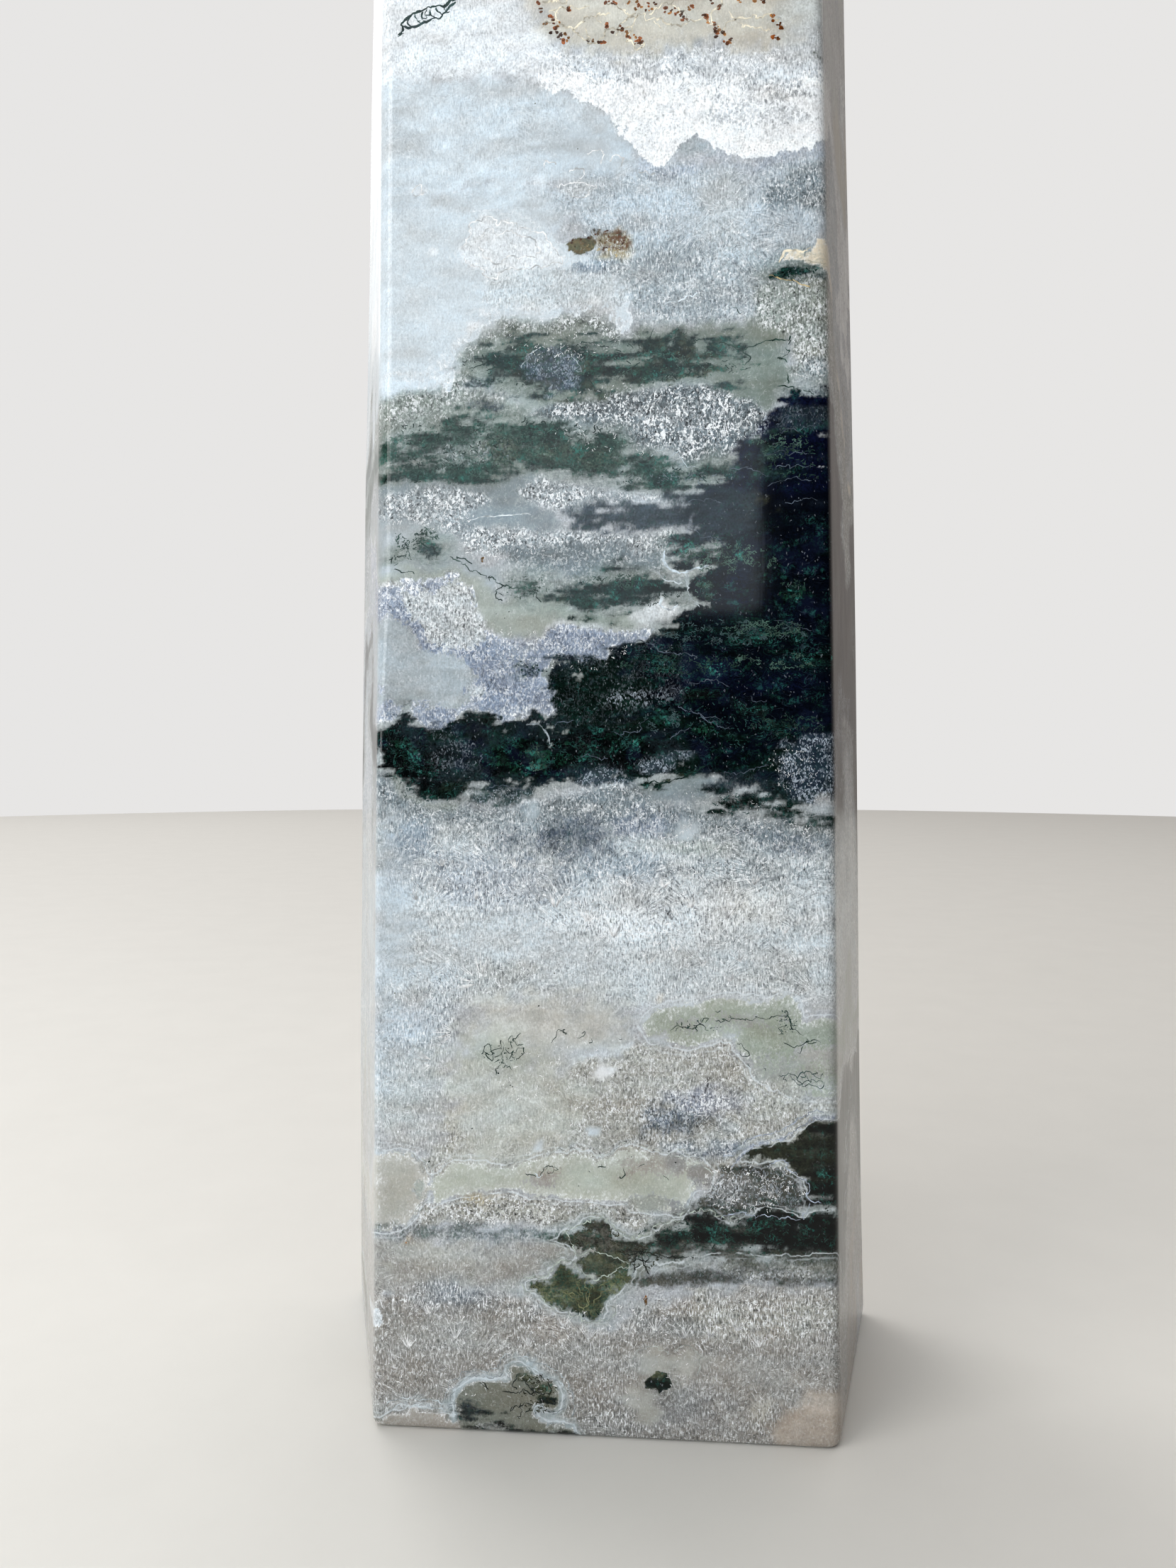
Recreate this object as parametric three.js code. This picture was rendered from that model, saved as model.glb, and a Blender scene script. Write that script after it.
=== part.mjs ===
// Moss agate tower: one solid piece of stone, sawn, ground and polished into a
// tall four-sided obelisk. It is wider at the back than at the front, tapers
// gently with a slight bow, and ends in a four-facet point.
// Millimetres, +Z up. The wide polished show face looks towards -Y.
// The origin is the middle of the stone's footprint box, on the surface it stands on.

import * as THREE from "three";

// ---- driving dimensions (mm) ----
const FRONT_WIDTH = 54.0; // show face, at the base
const DEPTH = 34.0; // front to back, at the base
const BACK_LEFT_FLARE = 11.1; // how far the back-left edge stands outside the front-left one
const BACK_RIGHT_FLARE = 7.5; // the same on the right
const SHOULDER_HEIGHT = 196.0; // where the four long faces end
const TIP_HEIGHT = 35.0; // from the shoulder to the apex
const FRONT_LEAN_DEG = 0.7; // the show face leans back
const BACK_LEAN_DEG = 0.7; // the back face leans forward
const EDGE_CHAMFER = 0.6; // ground-off strip along each long edge
const FRONT_LEFT_CHAMFER_TOP = 1.0; // the same strip is wider on the upper front-left edge
const BASE_CHAMFER = 0.6; // round the foot
const SHOULDER_SKEW = [0.0, 1.2, -0.8, 0.9]; // hand-cut: each shoulder corner sits a little off level
const APEX_ALONG = 0.47; // apex, as a fraction of the section's width
const APEX_BACK = 0.5; // and of its depth
const APEX_FLAT = 0.045; // size of the blunted tip against the shoulder section

// Inward travel (mm) of each long edge with height: the taper and its slight bow.
// Each row is [height, travel towards the middle across the width].
const FRONT_LEFT_IN = [[0, 0], [20, 0.2], [40, 0.35], [60, 0.5], [80, 0.75], [100, 1.0], [120, 1.15], [140, 1.3], [160, 1.45], [180, 1.75], [200, 2.1]];
const FRONT_RIGHT_IN = [[0, 0], [16, 0.33], [48, 0.8], [76, 1.2], [92, 1.5], [108, 1.8], [127, 2.2], [147, 2.65], [162, 3.03], [180, 3.6], [200, 4.3]];
const BACK_LEFT_IN = [[0, 0], [39, 0.25], [54, 0.6], [75, 0.9], [95, 1.3], [115, 1.75], [145, 2.65], [164, 3.05], [183, 3.65], [200, 4.2]];
const BACK_RIGHT_IN = [[0, 0], [20, 0.6], [40, 1.0], [55, 1.25], [75, 1.6], [95, 2.0], [114, 2.45], [143, 3.3], [161, 3.9], [180, 4.35], [200, 4.9]];

// ---- section of the stone ----
function lookup(rows, z) {
  for (let i = 1; i < rows.length; i++)
    if (z <= rows[i][0]) {
      const [z0, a] = rows[i - 1];
      const [z1, b] = rows[i];
      return a + ((b - a) * (z - z0)) / (z1 - z0);
    }
  return rows[rows.length - 1][1];
}

const rad = (deg) => (deg * Math.PI) / 180;

// The four long edges at height z, anticlockwise from the front-left one.
// x runs along the show face from its left base corner, y runs back from it.
function corners(z) {
  const front = Math.tan(rad(FRONT_LEAN_DEG)) * z;
  const back = DEPTH - Math.tan(rad(BACK_LEAN_DEG)) * z;
  return [
    new THREE.Vector2(lookup(FRONT_LEFT_IN, z), front),
    new THREE.Vector2(FRONT_WIDTH - lookup(FRONT_RIGHT_IN, z), front),
    new THREE.Vector2(FRONT_WIDTH + BACK_RIGHT_FLARE - lookup(BACK_RIGHT_IN, z), back),
    new THREE.Vector2(-BACK_LEFT_FLARE + lookup(BACK_LEFT_IN, z), back),
  ];
}

// Width of the chamfer at each long edge at height z.
function chamfers(z) {
  const t = Math.min(1, Math.max(0, (z - 82) / 18));
  return [0.35 + (FRONT_LEFT_CHAMFER_TOP - 0.35) * t, EDGE_CHAMFER, EDGE_CHAMFER * 1.4, EDGE_CHAMFER * 1.4];
}

// Each corner becomes two points, so the section has eight.
function chamfered(quad, widths) {
  const out = [];
  for (let i = 0; i < 4; i++) {
    const p = quad[i];
    const before = quad[(i + 3) % 4].clone().sub(p).normalize();
    const after = quad[(i + 1) % 4].clone().sub(p).normalize();
    out.push(p.clone().addScaledVector(before, widths[i]), p.clone().addScaledVector(after, widths[i]));
  }
  return out;
}

// ---- rings from the foot to the tip ----
const rings = [];

// The foot: the bottom face is drawn in by the base chamfer.
{
  const full = chamfered(corners(0), chamfers(0));
  const middle = new THREE.Vector2();
  full.forEach((p) => middle.addScaledVector(p, 1 / full.length));
  rings.push(
    full.map((p) => {
      const q = p.clone().sub(middle);
      q.x -= Math.sign(q.x) * BASE_CHAMFER;
      q.y -= Math.sign(q.y) * BASE_CHAMFER;
      q.add(middle);
      return new THREE.Vector3(q.x, q.y, 0);
    }),
  );
}

// The shaft. Its last ring is the shoulder, a little off level from corner to corner.
const SHAFT_LEVELS = [BASE_CHAMFER, 20, 40, 60, 80, 100, 120, 140, 160, 180];
for (const z of SHAFT_LEVELS)
  rings.push(chamfered(corners(z), chamfers(z)).map((p) => new THREE.Vector3(p.x, p.y, z)));

const shoulder = [];
for (let i = 0; i < 8; i++) {
  const z = SHOULDER_HEIGHT + SHOULDER_SKEW[i >> 1];
  const p = chamfered(corners(z), chamfers(z))[i];
  shoulder.push(new THREE.Vector3(p.x, p.y, z));
}
rings.push(shoulder);

// The point: four flat facets that close on a small blunted apex.
const quadTop = corners(SHOULDER_HEIGHT);
const apex = new THREE.Vector3(
  quadTop[0].x + (quadTop[1].x - quadTop[0].x) * APEX_ALONG,
  quadTop[0].y + (quadTop[3].y - quadTop[0].y) * APEX_BACK,
  SHOULDER_HEIGHT + TIP_HEIGHT,
);
rings.push(
  shoulder.map((p) => {
    const q = p.clone().lerp(apex, 1 - APEX_FLAT);
    q.z = apex.z;
    return q;
  }),
);

// ---- one closed surface ----
const positions = [];
const index = [];
rings.forEach((ring) => ring.forEach((p) => positions.push(p.x, p.y, p.z)));
for (let r = 0; r + 1 < rings.length; r++)
  for (let i = 0; i < 8; i++) {
    const j = (i + 1) % 8;
    const a = r * 8 + i;
    const b = r * 8 + j;
    const c = (r + 1) * 8 + j;
    const d = (r + 1) * 8 + i;
    index.push(a, b, c, a, c, d);
  }
const last = (rings.length - 1) * 8;
for (let i = 1; i < 7; i++) {
  index.push(0, i + 1, i);
  index.push(last, last + i, last + i + 1);
}

const geometry = new THREE.BufferGeometry();
geometry.setAttribute("position", new THREE.Float32BufferAttribute(positions, 3));
geometry.setIndex(index);
geometry.computeBoundingBox();
const box = geometry.boundingBox;
geometry.translate(-(box.min.x + box.max.x) / 2, -(box.min.y + box.max.y) / 2, -box.min.z);
geometry.computeVertexNormals();

const polishedAgate = new THREE.MeshStandardMaterial({
  color: 0xa9b0b3,
  roughness: 0.12,
  metalness: 0.0,
});

const tower = new THREE.Mesh(geometry, polishedAgate);
tower.name = "tower";

const group = new THREE.Group();
group.add(tower);

export default group;
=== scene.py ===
"""Moss agate tower: the finish of the polished stone, its bands, crystals and moss, the studio and the camera.

The show face is painted from listed bands, lobes and threads. Their points are pixels of the
1659 x 2212 photograph; the fitted camera below turns a place on the stone into such a pixel. The other
faces continue the same bands round the corners. Fine grain, needles, druzy glitter and moss are procedural.
"""
import math

import bpy
import numpy as np
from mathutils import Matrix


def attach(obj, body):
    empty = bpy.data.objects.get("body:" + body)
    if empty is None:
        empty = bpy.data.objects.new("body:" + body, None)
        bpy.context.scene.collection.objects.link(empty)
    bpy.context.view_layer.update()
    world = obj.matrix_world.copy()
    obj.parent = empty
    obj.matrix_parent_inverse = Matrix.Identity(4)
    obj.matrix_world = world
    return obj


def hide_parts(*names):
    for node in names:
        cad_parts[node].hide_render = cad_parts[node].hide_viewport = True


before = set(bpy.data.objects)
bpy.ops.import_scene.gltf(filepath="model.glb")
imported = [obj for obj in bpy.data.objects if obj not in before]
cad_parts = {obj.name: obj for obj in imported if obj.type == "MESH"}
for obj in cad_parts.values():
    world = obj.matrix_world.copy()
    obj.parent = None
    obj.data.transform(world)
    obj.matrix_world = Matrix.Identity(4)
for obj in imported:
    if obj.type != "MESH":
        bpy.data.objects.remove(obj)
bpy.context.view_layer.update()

MM = 0.001

# ------------------------------------------------------------------ the stone's shape, as in the CAD (mm)
FRONT_WIDTH = 54.0
DEPTH = 34.0
BACK_LEFT_FLARE = 11.1
BACK_RIGHT_FLARE = 7.5
SHOULDER = 196.0
TIP = 35.0
LEAN = math.tan(math.radians(0.7))
EDGE = 0.6
FL_EDGE_TOP = 1.0
SKEW = [0.0, 1.2, -0.8, 0.9]
APEX_ALONG, APEX_BACK, APEX_FLAT = 0.47, 0.5, 0.045
FL_IN = [[0, 0], [20, 0.2], [40, 0.35], [60, 0.5], [80, 0.75], [100, 1.0], [120, 1.15], [140, 1.3], [160, 1.45], [180, 1.75], [200, 2.1]]
FR_IN = [[0, 0], [16, 0.33], [48, 0.8], [76, 1.2], [92, 1.5], [108, 1.8], [127, 2.2], [147, 2.65], [162, 3.03], [180, 3.6], [200, 4.3]]
BL_IN = [[0, 0], [39, 0.25], [54, 0.6], [75, 0.9], [95, 1.3], [115, 1.75], [145, 2.65], [164, 3.05], [183, 3.65], [200, 4.2]]
BR_IN = [[0, 0], [20, 0.6], [40, 1.0], [55, 1.25], [75, 1.6], [95, 2.0], [114, 2.45], [143, 3.3], [161, 3.9], [180, 4.35], [200, 4.9]]


def rows(table, z):
    t = np.array(table, float)
    return np.interp(z, t[:, 0], t[:, 1])


def corners(z):
    """The four long edges at height z: front left, front right, back right, back left."""
    z = np.asarray(z, float)
    f, b = LEAN * z, DEPTH - LEAN * z
    return [
        np.stack([rows(FL_IN, z), f], -1),
        np.stack([FRONT_WIDTH - rows(FR_IN, z), f], -1),
        np.stack([FRONT_WIDTH + BACK_RIGHT_FLARE - rows(BR_IN, z), b], -1),
        np.stack([-BACK_LEFT_FLARE + rows(BL_IN, z), b], -1),
    ]


def edge_widths(z):
    t = min(1.0, max(0.0, (z - 82) / 18))
    return [0.35 + (FL_EDGE_TOP - 0.35) * t, EDGE, EDGE * 1.4, EDGE * 1.4]


# CAD centres its box on the origin: the widest section is the one at the top of the foot chamfer.
def cad_section(z):
    q = [c.reshape(2) for c in corners(z)]
    w = edge_widths(z)
    out = []
    for i in range(4):
        a = q[(i + 3) % 4] - q[i]
        b = q[(i + 1) % 4] - q[i]
        out += [q[i] + a / np.hypot(*a) * w[i], q[i] + b / np.hypot(*b) * w[i]]
    return np.array(out)


_widest = cad_section(EDGE)
ORIGIN = (_widest.min(0) + _widest.max(0)) / 2  # of the section plane, in the frame's x and y

# ------------------------------------------------------------------ the camera, fitted to the photograph
FOCAL_PX, PITCH = 1662.0, math.radians(2.0)
CX, CY = 829.5, 1106.0
CAM_H = 80.267
FL0 = np.array([-25.178, 135.387])
E1 = np.array([0.996212, -0.086962])  # along the show face, to the right
E2 = np.array([0.086962, 0.996212])  # into the stone


def to_pixel(u, d, z):
    """A point of the stone (mm along the face, mm behind its base line, mm up) as a pixel of the photograph."""
    x = FL0[0] + u * E1[0] + d * E2[0]
    y = FL0[1] + u * E1[1] + d * E2[1]
    h = z - CAM_H
    zf = y * math.cos(PITCH) - h * math.sin(PITCH)
    yd = -y * math.sin(PITCH) - h * math.cos(PITCH)
    return CX + FOCAL_PX * x / zf, CY + FOCAL_PX * yd / zf


def on_face(px, py):
    """The point (u, d, z) of the show face's plane at a pixel of the photograph."""
    r = np.array([(px - CX) / FOCAL_PX, math.cos(PITCH) - math.sin(PITCH) * (py - CY) / FOCAL_PX,
                  -math.sin(PITCH) - math.cos(PITCH) * (py - CY) / FOCAL_PX])
    n = np.array([-E2[0], -E2[1], LEAN])
    o = np.array([FL0[0], FL0[1], -CAM_H])
    t = (o @ n) / (r @ n)
    p = r * t - o
    return p[0] * E1[0] + p[1] * E1[1], p[0] * E2[0] + p[1] * E2[1], p[2]


def to_frame(u, d, z):
    return (u - ORIGIN[0]) * MM, (d - ORIGIN[1]) * MM, z * MM


# ------------------------------------------------------------------ seeded noise for the painted fields
def _hash(ix, iy, seed):
    h = (ix.astype(np.int64) * 374761393 + iy.astype(np.int64) * 668265263 + seed * 974634777) & 0xFFFFFFFF
    h = ((h ^ (h >> 13)) * 1274126177) & 0xFFFFFFFF
    h = h ^ (h >> 16)
    return (h & 0xFFFFFF) / float(0xFFFFFF)


def vnoise(x, y, seed=0):
    ix = np.floor(x).astype(np.int64)
    iy = np.floor(y).astype(np.int64)
    fx, fy = x - ix, y - iy
    ux = fx * fx * fx * (fx * (fx * 6 - 15) + 10)
    uy = fy * fy * fy * (fy * (fy * 6 - 15) + 10)
    a, b = _hash(ix, iy, seed), _hash(ix + 1, iy, seed)
    c, d = _hash(ix, iy + 1, seed), _hash(ix + 1, iy + 1, seed)
    return (a * (1 - ux) + b * ux) * (1 - uy) + (c * (1 - ux) + d * ux) * uy


def fbm(x, y, seed=0, octaves=4, gain=0.5):
    t, amp, s, f = 0, 1, 0, 1
    for o in range(octaves):
        t = t + amp * (vnoise(x * f + 17.3 * o, y * f - 9.1 * o, seed + o) - 0.5)
        s += amp * 0.5
        amp *= gain
        f *= 2.03
    return t / s


def cells(x, y, seed=0):
    """Distance to the nearest of one jittered point a cell: scalloped lobes."""
    ix, iy = np.floor(x).astype(np.int64), np.floor(y).astype(np.int64)
    best = np.full(x.shape, 9.0)
    for i in (-1, 0, 1):
        for j in (-1, 0, 1):
            cx, cy = ix + i, iy + j
            px = cx + 0.1 + 0.8 * _hash(cx, cy, seed)
            py = cy + 0.1 + 0.8 * _hash(cx, cy, seed + 77)
            best = np.minimum(best, (px - x) ** 2 + (py - y) ** 2)
    return np.sqrt(best)


def sst(e0, e1, x):
    t = np.clip((x - e0) / (e1 - e0), 0, 1)
    return t * t * (3 - 2 * t)


def seg_dist(X, Y, a, b):
    dx, dy = b[0] - a[0], b[1] - a[1]
    L = dx * dx + dy * dy
    t = np.clip(((X - a[0]) * dx + (Y - a[1]) * dy) / (L if L > 0 else 1), 0, 1)
    return np.hypot(X - a[0] - t * dx, Y - a[1] - t * dy)


def d_line(X, Y, pts):
    if len(pts) == 1:
        return np.hypot(X - pts[0][0], Y - pts[0][1])
    d = np.full(X.shape, 1e9)
    for a, b in zip(pts[:-1], pts[1:]):
        d = np.minimum(d, seg_dist(X, Y, a, b))
    return d


def d_poly(X, Y, pts):
    d = d_line(X, Y, list(pts) + [pts[0]])
    inside = np.zeros(X.shape, bool)
    n = len(pts)
    for i in range(n):
        x0, y0 = pts[i]
        x1, y1 = pts[(i + 1) % n]
        if y0 == y1:
            continue
        inside ^= ((y0 > Y) != (y1 > Y)) & (X < (x1 - x0) * (Y - y0) / (y1 - y0) + x0)
    return np.where(inside, -d, d)


def d_ell(X, Y, c, r):
    ca, sa = math.cos(r[2]), math.sin(r[2])
    dx, dy = X - c[0], Y - c[1]
    q = np.hypot((dx * ca + dy * sa) / r[0], (-dx * sa + dy * ca) / r[1])
    return (q - 1) * min(r[0], r[1])


# ------------------------------------------------------------------ features of the show face
# Stone colours (sRGB). Every shape and thread names one of them.
PALETTE = dict(
    snow=(248, 250, 252),
    milk=(237, 241, 244),
    pearl=(222, 227, 230),
    mist=(206, 213, 216),
    ash=(188, 196, 200),
    silver=(171, 180, 185),
    steel=(153, 163, 169),
    lead=(134, 146, 152),
    iron=(114, 126, 132),
    sky=(206, 215, 221),
    ice=(192, 203, 211),
    dusk=(176, 187, 193),
    lilac=(168, 177, 192),
    violet=(150, 160, 190),
    thistle=(124, 141, 158),
    heather=(108, 118, 138),
    cream=(228, 218, 198),
    sand=(208, 202, 188),
    oat=(194, 191, 180),
    stone=(174, 173, 165),
    taupe=(164, 158, 150),
    clay=(186, 174, 162),
    umber=(132, 128, 122),
    cocoa=(108, 102, 94),
    honey=(198, 180, 138),
    rust=(128, 100, 64),
    russet=(150, 84, 38),
    tawny=(178, 122, 64),
    sepia=(92, 54, 28),
    parchment=(194, 197, 190),
    porcelain=(240, 243, 246),
    bark=(110, 84, 50),
    khaki=(134, 120, 86),
    dawn=(148, 160, 179),
    celadon=(172, 181, 172),
    haze=(184, 190, 186),
    fog=(164, 171, 164),
    sage=(146, 154, 146),
    lichen=(126, 136, 128),
    fern=(80, 106, 96),
    reed=(114, 116, 98),
    wort=(122, 124, 92),
    slate=(88, 98, 110),
    storm=(68, 80, 92),
    shale=(54, 64, 76),
    teal_grey=(70, 90, 92),
    deep_grey=(44, 56, 62),
    pine=(52, 76, 68),
    teal=(40, 68, 66),
    forest=(28, 52, 46),
    night_green=(18, 38, 32),
    pitch=(9, 16, 17),
    ink=(12, 18, 34),
    navy=(20, 26, 58),
    olive=(86, 90, 64),
    moss_olive=(70, 74, 54),
    bronze=(52, 54, 40),
    char=(32, 38, 34),
    chalk=(228, 226, 219),
    fleece=(209, 207, 199),
    dove=(186, 185, 178),
    pewter=(163, 162, 157),
    flint=(145, 144, 140),
    fume=(130, 130, 130),
    cinder=(109, 109, 110),
    putty=(178, 182, 171),
    mortar=(158, 166, 154),
    moth=(144, 147, 133),
    agedstone=(124, 126, 116),
)
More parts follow.
